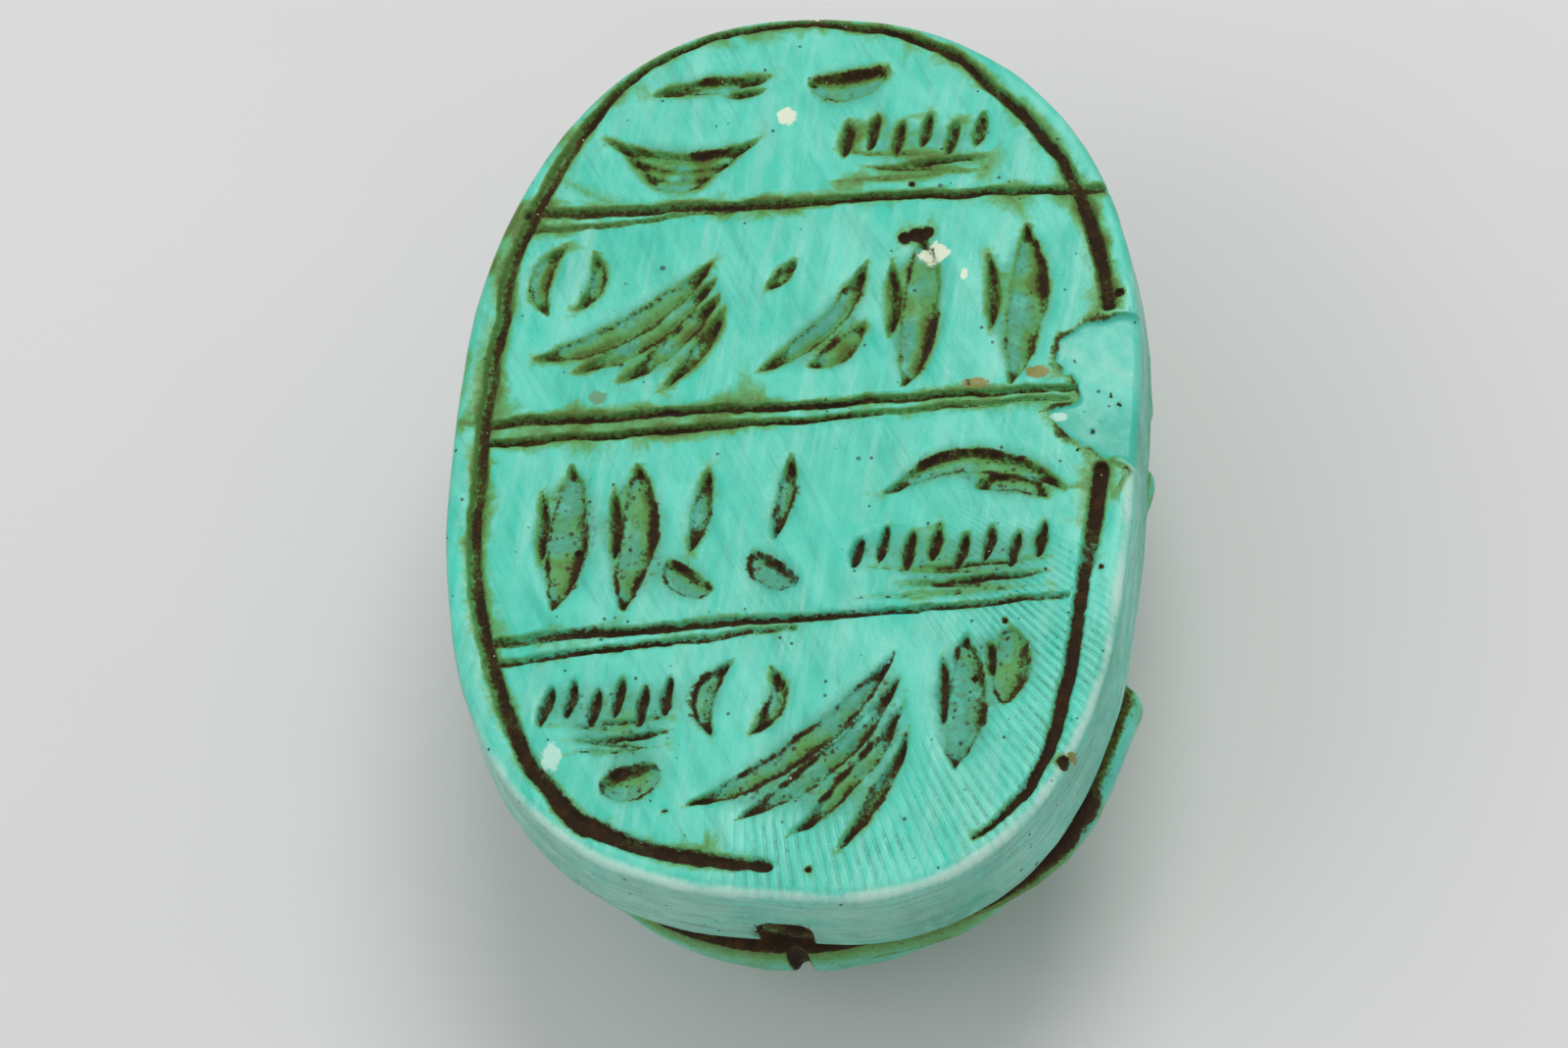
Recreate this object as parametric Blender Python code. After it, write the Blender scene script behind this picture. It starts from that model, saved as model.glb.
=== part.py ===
"""A large scarab amulet of glazed stone, lying on its carved back with its engraved face up.

Metres, +Z up. The beetle's head points to +Y and its back is underneath, so a depth below is
measured downwards from the engraved face. The origin is the middle of the surface it lies on.
"""

import math

import bmesh
import bpy
from mathutils import Vector

# Overall sizes
HEIGHT = 0.0240
FACE_LENGTH = 0.0600
FACE_WIDTH = 0.0412
PLINTH_DEPTH = 0.0058
WALL_FLARE = 0.0003
RIM_ROUNDING = 0.0004

# The outline's fullness, its taper to the head, and its hand-cut waves: (count, cosine, sine)
OUTLINE_POWER = 2.48
HEAD_NARROWING = 0.02
HAND_WAVES = (
    (2, 0.0, -0.00017),
    (3, -0.00023, 0.0),
    (4, 0.0, 0.00027),
    (5, 0.0, 0.00016),
)

# The stringing hole from head to tail, where the plinth meets the body
BORE_DIAMETER = 0.0030
BORE_DEPTH = 0.0051

# The body between the plinth and the wing cases, drawn in under the head
BED_INSET = 0.0020
BED_HEAD_INSET = 0.0066
BED_DEPTH = 0.0118

# The domed back: its lower edge, its ends and its fullness in plan and in section
SHELL_INSET = 0.0013
SHELL_HEAD_INSET = 0.0095
SHELL_EDGE_DEPTH = 0.0104
SHELL_ROOT = 0.0026
SHELL_PLAN_POWER = 2.3
SHELL_SECTION_POWER = 2.2
REST_SPOT_SAG = 0.0004

# Lines cut in the back
BACK_LINE_WIDTH = 0.0011
NECK_LINE_Y = 0.0065
NECK_LINE_BOW = 0.0012
MARGIN_SHARE = 0.88
MARGIN_TAIL_DEG = -86
SHOULDER_NOTCH_SHARE = 0.66
SHOULDER_NOTCH_LENGTH = 0.0050

# The head, its eyes and the toothed shield in front of it
HEAD_HALF_WIDTH = 0.0086
HEAD_HALF_LENGTH = 0.0075
HEAD_INSET = 0.0042
HEAD_TOP_DEPTH = 0.0175
HEAD_MID_DEPTH = 0.0120
EYE_RADIUS = 0.0020
EYE_ANGLE_DEG = 20.0
SHIELD_HALF_WIDTH = 0.0090
SHIELD_LENGTH = 0.0170
SHIELD_INSET = 0.0008
SHIELD_DEPTH = 0.0132
SHIELD_TAPER = 0.82
SHIELD_TEETH = 6
TOOTH_SPREAD_DEG = 96.0
TOOTH_NOTCH = 0.0011
TOOTH_ROOT_SHARE = 0.6

# Each leg from the body to its knee and on to its foot: (degrees round the outline, inset, depth)
LEG_DIAMETER = 0.0030
FOOT_SHARE = 0.70
FRONT_LEG = (
    (22, 0.0075, 0.0128),
    (12, 0.0014, 0.0088),
    (24, 0.0013, 0.0077),
    (42, 0.0016, 0.0070),
    (62, 0.0022, 0.0068),
)
MIDDLE_LEG = (
    (7, 0.0056, 0.0134),
    (2, 0.0012, 0.0088),
    (-5, 0.0018, 0.0084),
    (-13, 0.0026, 0.0090),
    (-21, 0.0029, 0.0097),
)
HIND_LEG = (
    (-15, 0.0056, 0.0134),
    (-27, 0.0009, 0.0087),
    (-46, 0.0009, 0.0082),
    (-66, 0.0010, 0.0083),
    (-92, 0.0010, 0.0086),
)

# The engraved border, which runs close to the rim at the head, as arcs in degrees
BORDER_ARCS_DEG = ((-57, -5), (17, 269))
BORDER_INSET = 0.0019
BORDER_HEAD_INSET = 0.0007
BORDER_HEAD_DEG = 104.0
BORDER_HEAD_SPREAD_DEG = 26.0
BORDER_WIDTH = 0.0012
BORDER_HEAD_WIDTH = 0.0007
CUT_DEPTH = 0.0005

# The lines between the rows: the first one's place, the pitch and each line's slope
FIRST_LINE_Y = 0.0167
ROW_PITCH = 0.0143
LINE_SLOPES_DEG = (0.8, 2.1, 3.9)
LINE_WIDTH = 0.0009
LINE_PAIR_GAP = 0.0013

# The old chip in the face's right edge
CHIP_DEGREES = 6.0
CHIP_INSET = 0.0009
CHIP_RADII = (0.0044, 0.0052)
CHIP_DEPTH = 0.0006

# The strokes: their width, and how much deeper a broad one goes than a narrow one
STROKE_WIDTH = 0.0011
BROAD_STROKE_DEEPENING = 0.15

# Mesh resolution, and the height by which cutters rise above the face
OUTLINE_SEGMENTS = 96
DOME_SEGMENTS = 64
DOME_RINGS = 20
HEAD_RINGS = 14
EYE_RINGS = 8
CHIP_RINGS = 12
SHIELD_SEGMENTS = 40
LEG_STATIONS = 8
KNEE_RINGS = 8
LEG_SIDES = 8
BORE_SIDES = 20
CUTTER_SIDES = 6
GROOVE_SIDES = 4
BACK_LINE_STATIONS = 15
BORDER_STEP_DEG = 4
STROKE_STATIONS = 5
STROKE_TIP_SHARE = 0.15
ABOVE = 0.00006

GLAZE_COLOUR = (0.13, 0.60, 0.48, 1.0)
GLAZE_ROUGHNESS = 0.38


def blend(start, end, share):
    return start + (end - start) * share


def height_at(depth):
    return HEIGHT - depth


# The outline of the engraved face

def rim_point(angle):
    """A point of the face's outline; the angle runs from +X round by the head."""
    across = math.cos(angle)
    along = math.sin(angle)
    reach = (abs(across) ** OUTLINE_POWER + abs(along) ** OUTLINE_POWER) ** (-1 / OUTLINE_POWER)
    half_width = FACE_WIDTH / 2 * (1 - HEAD_NARROWING * reach * along)
    point = Vector((half_width * reach * across, FACE_LENGTH / 2 * reach * along))
    wave = sum(c * math.cos(n * angle) + s * math.sin(n * angle) for n, c, s in HAND_WAVES)
    return point * (1 + wave / point.length)


def outline_point(angle, inset):
    """The outline's point moved inwards by the inset."""
    step = math.radians(1)
    tangent = (rim_point(angle + step) - rim_point(angle - step)).normalized()
    inward = Vector((-tangent.y, tangent.x))
    return rim_point(angle) + inward * inset


def half_chord(y):
    """Half the face's width at this distance from its middle."""
    share = min(abs(y) / (FACE_LENGTH / 2), 1)
    return FACE_WIDTH / 2 * (1 - share ** OUTLINE_POWER) ** (1 / OUTLINE_POWER)


# Building blocks

def glaze_material():
    material = bpy.data.materials.new("turquoise_glaze")
    material.use_nodes = True
    shader = material.node_tree.nodes["Principled BSDF"]
    shader.inputs["Base Color"].default_value = GLAZE_COLOUR
    shader.inputs["Roughness"].default_value = GLAZE_ROUGHNESS
    shader.inputs["Metallic"].default_value = 0.0
    return material


def add_object(name, mesh, collection):
    piece = bpy.data.objects.new(name, mesh)
    collection.objects.link(piece)
    return piece


def mesh_from(shape, name):
    mesh = bpy.data.meshes.new(name)
    shape.to_mesh(mesh)
    shape.free()
    return mesh


def outline_slab(name, depths, insets, head_inset, rounding, collection):
    """A slab that follows the outline, drawn in at the head and with its upper edge rounded."""
    shape = bmesh.new()
    bmesh.ops.create_cone(shape, cap_ends=True, segments=OUTLINE_SEGMENTS, radius1=1, radius2=1, depth=2)
    for vertex in shape.verts:
        angle = math.atan2(vertex.co.y, vertex.co.x)
        level = 0 if vertex.co.z > 0 else 1
        near_head = max(math.sin(angle), 0) ** 6
        place = outline_point(angle, insets[level] + head_inset * near_head)
        vertex.co = place.to_3d()
        vertex.co.z = height_at(depths[level])
    if rounding > 0:
        middle = height_at(sum(depths) / 2)
        rim = [edge for edge in shape.edges if all(vertex.co.z > middle for vertex in edge.verts)]
        bmesh.ops.bevel(shape, geom=rim, offset=rounding, segments=2, affect="EDGES", profile=0.5)
    return add_object(name, mesh_from(shape, name), collection)


def ellipsoid(name, centre, radii, rings, collection):
    shape = bmesh.new()
    bmesh.ops.create_uvsphere(shape, u_segments=2 * rings, v_segments=rings, radius=1)
    for vertex in shape.verts:
        vertex.co = Vector(centre) + Vector(a * b for a, b in zip(vertex.co, radii))
    return add_object(name, mesh_from(shape, name), collection)


def tube(name, points, radii, sides, collection, flatten=1.0, level=0.0):
    """A tapering tube along the points, flattened towards the level where a cut has to be shallow."""
    curve = bpy.data.curves.new(name, "CURVE")
    curve.dimensions = "3D"
    curve.twist_mode = "Z_UP"
    curve.bevel_depth = 1.0
    curve.bevel_resolution = (sides - 4) // 2
    curve.use_fill_caps = True
    spline = curve.splines.new("POLY")
    spline.points.add(len(points) - 1)
    for spline_point, point, radius in zip(spline.points, points, radii):
        spline_point.co = (*point, 1)
        spline_point.radius = radius
    source = bpy.data.objects.new(name, curve)
    collection.objects.link(source)
    bpy.context.view_layer.update()
    graph = bpy.context.evaluated_depsgraph_get()
    mesh = bpy.data.meshes.new_from_object(source.evaluated_get(graph))
    bpy.data.objects.remove(source)
    shape = bmesh.new()
    shape.from_mesh(mesh)
    bmesh.ops.remove_doubles(shape, verts=shape.verts, dist=1e-7)
    for vertex in shape.verts:
        vertex.co.z = level + (vertex.co.z - level) * flatten
    shape.to_mesh(mesh)
    shape.free()
    return add_object(name, mesh, collection)


def smooth_route(stops, count):
    """Points spaced along a smooth curve through the stops."""
    padded = [stops[0] * 2 - stops[1], *stops, stops[-1] * 2 - stops[-2]]
    route = []
    for index in range(count):
        place = index / (count - 1) * (len(stops) - 1)
        segment = min(int(place), len(stops) - 2)
        share = place - segment
        before, start, end, after = padded[segment:segment + 4]
        pull_out = (end - before) / 2
        pull_in = (after - start) / 2
        route.append(
            start
            + pull_out * share
            + (3 * (end - start) - 2 * pull_out - pull_in) * share ** 2
            + (2 * (start - end) + pull_out + pull_in) * share ** 3
        )
    return route


# The domed back

def shell_plan():
    """The dome's middle and its half sizes, seen from below."""
    tail_y = -FACE_LENGTH / 2 + SHELL_INSET
    head_y = FACE_LENGTH / 2 - SHELL_HEAD_INSET
    return (tail_y + head_y) / 2, FACE_WIDTH / 2 - SHELL_INSET, (head_y - tail_y) / 2


def shell_drop():
    return HEIGHT - SHELL_EDGE_DEPTH + REST_SPOT_SAG


def shell_height(x, y):
    """The dome's surface under a point, no lower than the spot that it rests on."""
    middle_y, half_width, half_length = shell_plan()
    across = abs(x) / half_width
    along = abs(y - middle_y) / half_length
    share = (across ** SHELL_PLAN_POWER + along ** SHELL_PLAN_POWER) ** (1 / SHELL_PLAN_POWER)
    drop = (1 - min(share, 1) ** SHELL_SECTION_POWER) ** (1 / SHELL_SECTION_POWER)
    return max(height_at(SHELL_EDGE_DEPTH) - shell_drop() * drop, 0)


def add_shell(collection):
    middle_y, half_width, half_length = shell_plan()
    shape = bmesh.new()
    bmesh.ops.create_uvsphere(shape, u_segments=DOME_SEGMENTS, v_segments=DOME_RINGS, radius=1)
    for vertex in shape.verts:
        flat = Vector((vertex.co.x, vertex.co.y))
        share = min(flat.length, 1) ** (2 / SHELL_SECTION_POWER)
        lift = abs(vertex.co.z) ** (2 / SHELL_SECTION_POWER)
        angle = math.atan2(flat.y, flat.x)
        reach = abs(math.cos(angle)) ** SHELL_PLAN_POWER + abs(math.sin(angle)) ** SHELL_PLAN_POWER
        share *= reach ** (-1 / SHELL_PLAN_POWER)
        span = SHELL_ROOT if vertex.co.z > 0 else -shell_drop()
        vertex.co.x = half_width * share * math.cos(angle)
        vertex.co.y = middle_y + half_length * share * math.sin(angle)
        vertex.co.z = height_at(SHELL_EDGE_DEPTH) + span * lift
    add_object("shell", mesh_from(shape, "shell"), collection)


def back_line(name, stops, collection, taper=1.0):
    """A line cut along the dome's surface."""
    radius = BACK_LINE_WIDTH / 2
    points = [Vector((x, y, shell_height(x, y))) for x, y in stops]
    radii = [radius * blend(1, taper, index / (len(points) - 1)) for index in range(len(points))]
    tube(name, points, radii, CUTTER_SIDES, collection)


def cut_back_lines(collection):
    """The neck, the seam between the wing cases, their margins and the shoulder notches."""
    middle_y, half_width, half_length = shell_plan()
    overhang = half_width + BACK_LINE_WIDTH
    last = BACK_LINE_STATIONS - 1
    shares = [index / last * 2 - 1 for index in range(BACK_LINE_STATIONS)]
    neck = [(overhang * share, NECK_LINE_Y - NECK_LINE_BOW * (1 - share ** 2)) for share in shares]
    back_line("neck_line", neck, collection)
    seam_start = NECK_LINE_Y - NECK_LINE_BOW
    seam_end = middle_y - half_length - BACK_LINE_WIDTH
    seam = [(0, blend(seam_start, seam_end, (share + 1) / 2)) for share in shares]
    back_line("seam_line", seam, collection)
    neck_share = (NECK_LINE_Y - middle_y) / (half_length * MARGIN_SHARE)
    arc = (math.radians(MARGIN_TAIL_DEG), math.asin(min(neck_share, 1)))
    for side in (-1, 1):
        margin = []
        for share in shares:
            angle = blend(*arc, (share + 1) / 2)
            reach = math.cos(angle) ** SHELL_PLAN_POWER + abs(math.sin(angle)) ** SHELL_PLAN_POWER
            radius = MARGIN_SHARE * reach ** (-1 / SHELL_PLAN_POWER)
            x = side * half_width * radius * math.cos(angle)
            margin.append((x, middle_y + half_length * radius * math.sin(angle)))
        back_line("margin_line", margin, collection)
        notch_x = side * half_width * SHOULDER_NOTCH_SHARE
        inward = side * SHOULDER_NOTCH_LENGTH / 2
        notch = [
            (notch_x - inward * share, NECK_LINE_Y - SHOULDER_NOTCH_LENGTH * share)
            for share in (0, 0.25, 0.5, 0.75, 1)
        ]
        back_line("shoulder_notch", notch, collection, taper=0.3)


# The head end

def add_head(collection):
    centre_y = FACE_LENGTH / 2 - HEAD_INSET - HEAD_HALF_LENGTH
    centre = (0, centre_y, height_at(HEAD_MID_DEPTH))
    radii = (HEAD_HALF_WIDTH, HEAD_HALF_LENGTH, HEAD_TOP_DEPTH - HEAD_MID_DEPTH)
    ellipsoid("head", centre, radii, HEAD_RINGS, collection)
    eye_angle = math.radians(EYE_ANGLE_DEG)
    for side in (-1, 1):
        x = side * HEAD_HALF_WIDTH * math.cos(eye_angle)
        y = centre_y + HEAD_HALF_LENGTH * math.sin(eye_angle)
        eye_centre = (x, y, height_at(HEAD_MID_DEPTH + EYE_RADIUS / 2))
        ellipsoid("eye", eye_centre, [EYE_RADIUS] * 3, EYE_RINGS, collection)


def shield_centre_y():
    return FACE_LENGTH / 2 - SHIELD_INSET - SHIELD_LENGTH / 2


def add_shield(collection):
    shape = bmesh.new()
    bmesh.ops.create_cone(
        shape, cap_ends=True, segments=SHIELD_SEGMENTS, radius1=SHIELD_TAPER, radius2=1, depth=2
    )
    for vertex in shape.verts:
        is_top = vertex.co.z > 0
        vertex.co.x *= SHIELD_HALF_WIDTH
        vertex.co.y = shield_centre_y() + vertex.co.y * SHIELD_LENGTH / 2
        vertex.co.z = height_at(PLINTH_DEPTH - RIM_ROUNDING if is_top else SHIELD_DEPTH)
    add_object("shield", mesh_from(shape, "shield"), collection)


def cut_shield_teeth(collection):
    """Notches that leave the teeth standing along the shield's front."""
    gap_count = SHIELD_TEETH - 1
    base = Vector((0, shield_centre_y(), 0))
    for index in range(gap_count):
        swing = math.radians(TOOTH_SPREAD_DEG) * (index / (gap_count - 1) - 0.5)
        across = math.sin(swing) * SHIELD_HALF_WIDTH
        along = math.cos(swing) * SHIELD_LENGTH / 2
        edge = Vector((across, along, 0))
        root = base + edge
        root.z = height_at(PLINTH_DEPTH + TOOTH_NOTCH)
        slope = edge * (SHIELD_TAPER - 1)
        slope.z = PLINTH_DEPTH - SHIELD_DEPTH
        radii = (TOOTH_NOTCH * TOOTH_ROOT_SHARE, TOOTH_NOTCH)
        tube("tooth_notch", (root, root + slope), radii, CUTTER_SIDES, collection)


# The legs

def add_legs(collection):
    """Three legs on each side, tapering to the foot and following the outline."""
    legs = {"front_leg": FRONT_LEG, "middle_leg": MIDDLE_LEG, "hind_leg": HIND_LEG}
    for name, stops in legs.items():
        for is_left in (False, True):
            places = []
            for degrees, inset, depth in stops:
                angle = math.radians(180 - degrees if is_left else degrees)
                place = outline_point(angle, inset).to_3d()
                place.z = height_at(depth)
                places.append(place)
            radius = LEG_DIAMETER / 2
            tube(name + "_thigh", places[:2], (radius, radius), LEG_SIDES, collection)
            ellipsoid(name + "_knee", places[1], [radius] * 3, KNEE_RINGS, collection)
            shin = smooth_route(places[1:], LEG_STATIONS)
            shares = [index / (LEG_STATIONS - 1) for index in range(LEG_STATIONS)]
            radii = [radius * blend(1, FOOT_SHARE, share ** 2) for share in shares]
            tube(name + "_shin", shin, radii, LEG_SIDES, collection)


# The engraved face

def groove(name, points, widths, depth, collection):
    """A groove of the given widths and greatest depth, cut in the face."""
    level = height_at(0) + ABOVE
    route = [Vector((x, y, level)) for x, y in points]
    flatten = (depth + ABOVE) / (max(widths) / 2)
    radii = [width / 2 for width in widths]
    tube(name, route, radii, GROOVE_SIDES, collection, flatten, level)


def cut_border(collection):
    for start, end in BORDER_ARCS_DEG:
        stations = int((end - start) / BORDER_STEP_DEG)
        points = []
        widths = []
        for index in range(stations + 1):
            share = index / stations
            degrees = blend(start, end, share)
            near_head = math.exp(-((degrees - BORDER_HEAD_DEG) / BORDER_HEAD_SPREAD_DEG) ** 2)
            inset = blend(BORDER_INSET, BORDER_HEAD_INSET, near_head)
            points.append(outline_point(math.radians(degrees), inset))
            tip = min(min(share, 1 - share) * stations / 2 + 0.3, 1)
            widths.append(blend(BORDER_WIDTH, BORDER_HEAD_WIDTH, near_head) * tip)
        groove("border", points, widths, CUT_DEPTH, collection)


def cut_row_lines(collection):
    """The lines between the rows, the lower two of them doubled."""
    for index, slope in enumerate(LINE_SLOPES_DEG):
        middle_y = FIRST_LINE_Y - index * ROW_PITCH
        reach = half_chord(middle_y) - BORDER_INSET
        rise = math.tan(math.radians(slope))
        left_end = (-reach, middle_y - rise * reach)
        right_end = (reach, middle_y + rise * reach)
        widths = (LINE_WIDTH, LINE_WIDTH, LINE_WIDTH / 2)
        centre = (0, middle_y)
        groove("row_line", (left_end, centre, right_end), widths, CUT_DEPTH, collection)
        if index > 0:
            second = [(x, y - LINE_PAIR_GAP) for x, y in (left_end, centre, right_end)]
            groove("row_line_pair", second, widths, CUT_DEPTH / 2, collection)


def cut_chip(collection):
    centre = outline_point(math.radians(CHIP_DEGREES), CHIP_INSET)
    radii = (*CHIP_RADII, CHIP_DEPTH)
    ellipsoid("chip", (centre.x, centre.y, height_at(0)), radii, CHIP_RINGS, collection)


# The marks: strokes as (start, end, bow, width), in a box one wide and one high.
# A bow is a share of the stroke's length, and a width counts in stroke widths.

WEDGE = (((0.10, 0.50), (-0.10, -0.50), 0.04, 2.1), ((-0.46, 0.34), (-0.40, -0.18), 0.05, 0.8))
STAFF = (((0.20, 0.50), (-0.06, -0.14), 0.03, 1.0), ((-0.42, -0.20), (0.40, -0.42), -0.16, 1.7))
BRACKETS = (((-0.10, 0.50), (-0.30, -0.50), -0.20, 1.2), ((0.26, 0.40), (0.10, -0.46), 0.22, 1.0))
BROW = (((-0.50, -0.34), (0.50, -0.30), 0.20, 1.5), ((0.02, -0.22), (0.42, -0.42), 0.16, 1.3))
SWEEP = (((-0.50, -0.40), (0.50, 0.30), 0.02, 1.0), ((0.10, -0.50), (0.46, -0.36), 0.0, 0.6))
SCOOP = (((-0.44, -0.12), (0.46, 0.22), -0.12, 2.0),)
COMMAS = (
    ((0.50, 0.46), (-0.42, -0.50), 0.12, 1.2),
    ((-0.12, 0.50), (-0.36, 0.22), 0.06, 0.9),
    ((0.50, -0.10), (0.04, -0.48), 0.10, 1.4),
)


def nested(count):
    """Sagging strokes under each other, each shorter than the last."""
    strokes = []
    for index in range(count):
        start = (-0.50 + 0.13 * index, 0.46 - 0.30 * index)
        end = (0.50 - 0.15 * index, 0.40 - 0.26 * index)
        strokes.append((start, end, -0.18, 1.2))
    return strokes


def sheaf(count):
    """Long strokes that fan out from one end."""
    strokes = []
    for index in range(count):
        share = index / (count - 1)
        start = (0.40 + 0.08 * share, 0.50 - 0.36 * share)
        end = (-0.50 + 0.68 * share, -0.24 - 0.26 * share)
        strokes.append((start, end, 0.10 - 0.05 * share, 1.5 - 0.6 * share))
    return strokes


def ticks(count):
    """A row of short upright strokes, high and low by turns."""
    strokes = []
    for index in range(count):
        x = (index + 0.5) / count - 0.5
        top = 0.50 if index % 2 else 0.36
        strokes.append(((x + 0.02, top), (x - 0.02, top - 0.66), 0.0, 0.8))
    return strokes


# Each row's marks: (strokes, middle across, middle along, width, height).
# Across is in shares of the face's half width, and along in shares of the row's pitch.
ROWS = (
    (
        (SWEEP, -0.30, 0.10, 0.36, 0.09),
        (nested(3), -0.38, -0.29, 0.47, 0.30),
        (SCOOP, 0.10, 0.11, 0.25, 0.17),
        (ticks(6), 0.31, -0.21, 0.48, 0.27),
    ),
    (
        (BRACKETS, -0.69, 0.15, 0.22, 0.33),
        (sheaf(4), -0.50, -0.10, 0.56, 0.62),
        (COMMAS, 0.02, -0.05, 0.34, 0.54),
        (WEDGE, 0.33, -0.05, 0.16, 0.74),
        (WEDGE, 0.64, -0.04, 0.21, 0.76),
    ),
    (
        (WEDGE, -0.66, -0.10, 0.15, 0.66),
        (WEDGE, -0.46, -0.10, 0.13, 0.67),
        (STAFF, -0.28, -0.09, 0.15, 0.63),
        (STAFF, -0.04, -0.05, 0.16, 0.66),
        (BROW, 0.52, 0.16, 0.52, 0.30),
        (ticks(8), 0.46, -0.21, 0.60, 0.27),
    ),
    (
        (ticks(6), -0.50, 0.11, 0.41, 0.30),
        (SCOOP, -0.42, -0.21, 0.17, 0.18),
        (BRACKETS, -0.11, 0.14, 0.28, 0.36),
        (sheaf(4), 0.06, -0.12, 0.64, 0.90),
        (WEDGE, 0.51, 0.10, 0.13, 0.60),
        (WEDGE, 0.64, 0.27, 0.11, 0.32),
    ),
)


def cut_stroke(start, end, bow, width, collection):
    run = end - start
    aside = Vector((-run.y, run.x)) * bow
    points = []
    widths = []
    for index in range(STROKE_STATIONS):
        share = index / (STROKE_STATIONS - 1)
        points.append(start + run * share + aside * 4 * share * (1 - share))
        fullness = max(math.sin(math.pi * share) ** 0.6, STROKE_TIP_SHARE)
        widths.append(STROKE_WIDTH * width * fullness)
    depth = CUT_DEPTH * (1 + BROAD_STROKE_DEEPENING * (width - 1))
    groove("stroke", points, widths, depth, collection)


def cut_rows(collection):
    """Rows of plain strokes in the place of the inscription."""
    for index, marks in enumerate(ROWS):
        row_y = FIRST_LINE_Y + ROW_PITCH * (0.5 - index)
        for strokes, across, along, width, height in marks:
            centre = Vector((across * FACE_WIDTH / 2, row_y + along * ROW_PITCH))
            box = Vector((width * FACE_WIDTH / 2, height * ROW_PITCH))
            for start, end, bow, stroke_width in strokes:
                first = centre + Vector((start[0] * box.x, start[1] * box.y))
                last = centre + Vector((end[0] * box.x, end[1] * box.y))
                cut_stroke(first, last, bow, stroke_width, collection)


def cut_bore(collection):
    reach = FACE_LENGTH / 2 + LEG_DIAMETER
    level = height_at(BORE_DEPTH)
    points = (Vector((0, -reach, level)), Vector((0, reach, level)))
    tube("bore", points, (BORE_DIAMETER / 2, BORE_DIAMETER / 2), BORE_SIDES, collection)


def cut_rest_spot(collection):
    """A block whose top is the surface that the amulet lies on."""
    shape = bmesh.new()
    bmesh.ops.create_cube(shape, size=FACE_WIDTH)
    for vertex in shape.verts:
        vertex.co.z -= FACE_WIDTH / 2
    add_object("rest_cut", mesh_from(shape, "rest_cut"), collection)


# Assembly

def new_collection(name):
    collection = bpy.data.collections.new(name)
    bpy.context.scene.collection.children.link(collection)
    return collection


def add_boolean(piece, operation, collection):
    modifier = piece.modifiers.new(operation.lower(), "BOOLEAN")
    modifier.operation = operation
    modifier.solver = "EXACT"
    modifier.operand_type = "COLLECTION"
    modifier.collection = collection
    for guide in collection.objects:
        guide.hide_render = True
        guide.display_type = "WIRE"


def settle(piece):
    """Apply the modifiers, and put the middle of the piece's box over the origin."""
    bpy.context.view_layer.update()
    graph = bpy.context.evaluated_depsgraph_get()
    mesh = bpy.data.meshes.new_from_object(piece.evaluated_get(graph))
    piece.modifiers.clear()
    piece.data = mesh
    for axis in (0, 1):
        places = [vertex.co[axis] for vertex in mesh.vertices]
        middle = (min(places) + max(places)) / 2
        for vertex in mesh.vertices:
            vertex.co[axis] -= middle


def main():
    for leftover in list(bpy.data.objects):
        bpy.data.objects.remove(leftover)
    model = new_collection("scarab_amulet")
    carving = new_collection("carving")
    cutters = new_collection("cutters")

    plinth_insets = (0, -WALL_FLARE)
    scarab = outline_slab("scarab", (0, PLINTH_DEPTH), plinth_insets, 0, RIM_ROUNDING, model)
    bed_depths = (PLINTH_DEPTH - RIM_ROUNDING, BED_DEPTH)
    bed_insets = (BED_INSET, BED_INSET)
    outline_slab("bed", bed_depths, bed_insets, BED_HEAD_INSET - BED_INSET, 0, carving)
    add_shell(carving)
    add_head(carving)
    add_shield(carving)
    add_legs(carving)

    cut_rest_spot(cutters)
    cut_back_lines(cutters)
    cut_shield_teeth(cutters)
    cut_bore(cutters)
    cut_chip(cutters)
    cut_border(cutters)
    cut_row_lines(cutters)
    cut_rows(cutters)

    add_boolean(scarab, "UNION", carving)
    add_boolean(scarab, "DIFFERENCE", cutters)
    settle(scarab)
    scarab.data.materials.clear()
    scarab.data.materials.append(glaze_material())
    scarab.data.shade_smooth()
    scarab.data.set_sharp_from_angle(angle=math.radians(35))


main()
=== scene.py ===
"""The scarab amulet as the photograph shows it: its worn, soil-filled glaze, light and camera.

The surface is laid out in millimetres, with the middle of the engraved face over the origin and
depths measured down from the face. It moves to the CAD model's frame, in metres, at the end.
"""

import math

import bpy
import numpy as np
from mathutils import Matrix, Vector


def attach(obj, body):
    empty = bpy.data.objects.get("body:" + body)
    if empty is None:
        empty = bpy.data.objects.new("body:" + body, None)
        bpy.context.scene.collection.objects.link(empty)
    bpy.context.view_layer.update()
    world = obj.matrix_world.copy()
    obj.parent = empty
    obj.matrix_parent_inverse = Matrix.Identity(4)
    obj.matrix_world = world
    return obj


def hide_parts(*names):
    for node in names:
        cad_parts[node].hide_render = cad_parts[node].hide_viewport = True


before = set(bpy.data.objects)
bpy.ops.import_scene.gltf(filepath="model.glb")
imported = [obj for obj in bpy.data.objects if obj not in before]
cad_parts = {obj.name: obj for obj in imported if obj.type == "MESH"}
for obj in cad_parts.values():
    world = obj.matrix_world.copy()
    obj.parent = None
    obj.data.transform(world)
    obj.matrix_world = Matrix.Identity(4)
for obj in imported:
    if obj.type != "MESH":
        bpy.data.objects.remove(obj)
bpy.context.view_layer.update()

# Sizes of the CAD model, in millimetres
HEIGHT = 24.0
FACE_LENGTH = 60.0
FACE_WIDTH = 41.2
PLINTH_DEPTH = 5.8
WALL_FLARE = 0.3
OUTLINE_POWER = 2.48
HEAD_NARROWING = 0.02
HAND_WAVES = ((2, 0.0, -0.17), (3, -0.23, 0.0), (4, 0.0, 0.27), (5, 0.0, 0.16))

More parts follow.
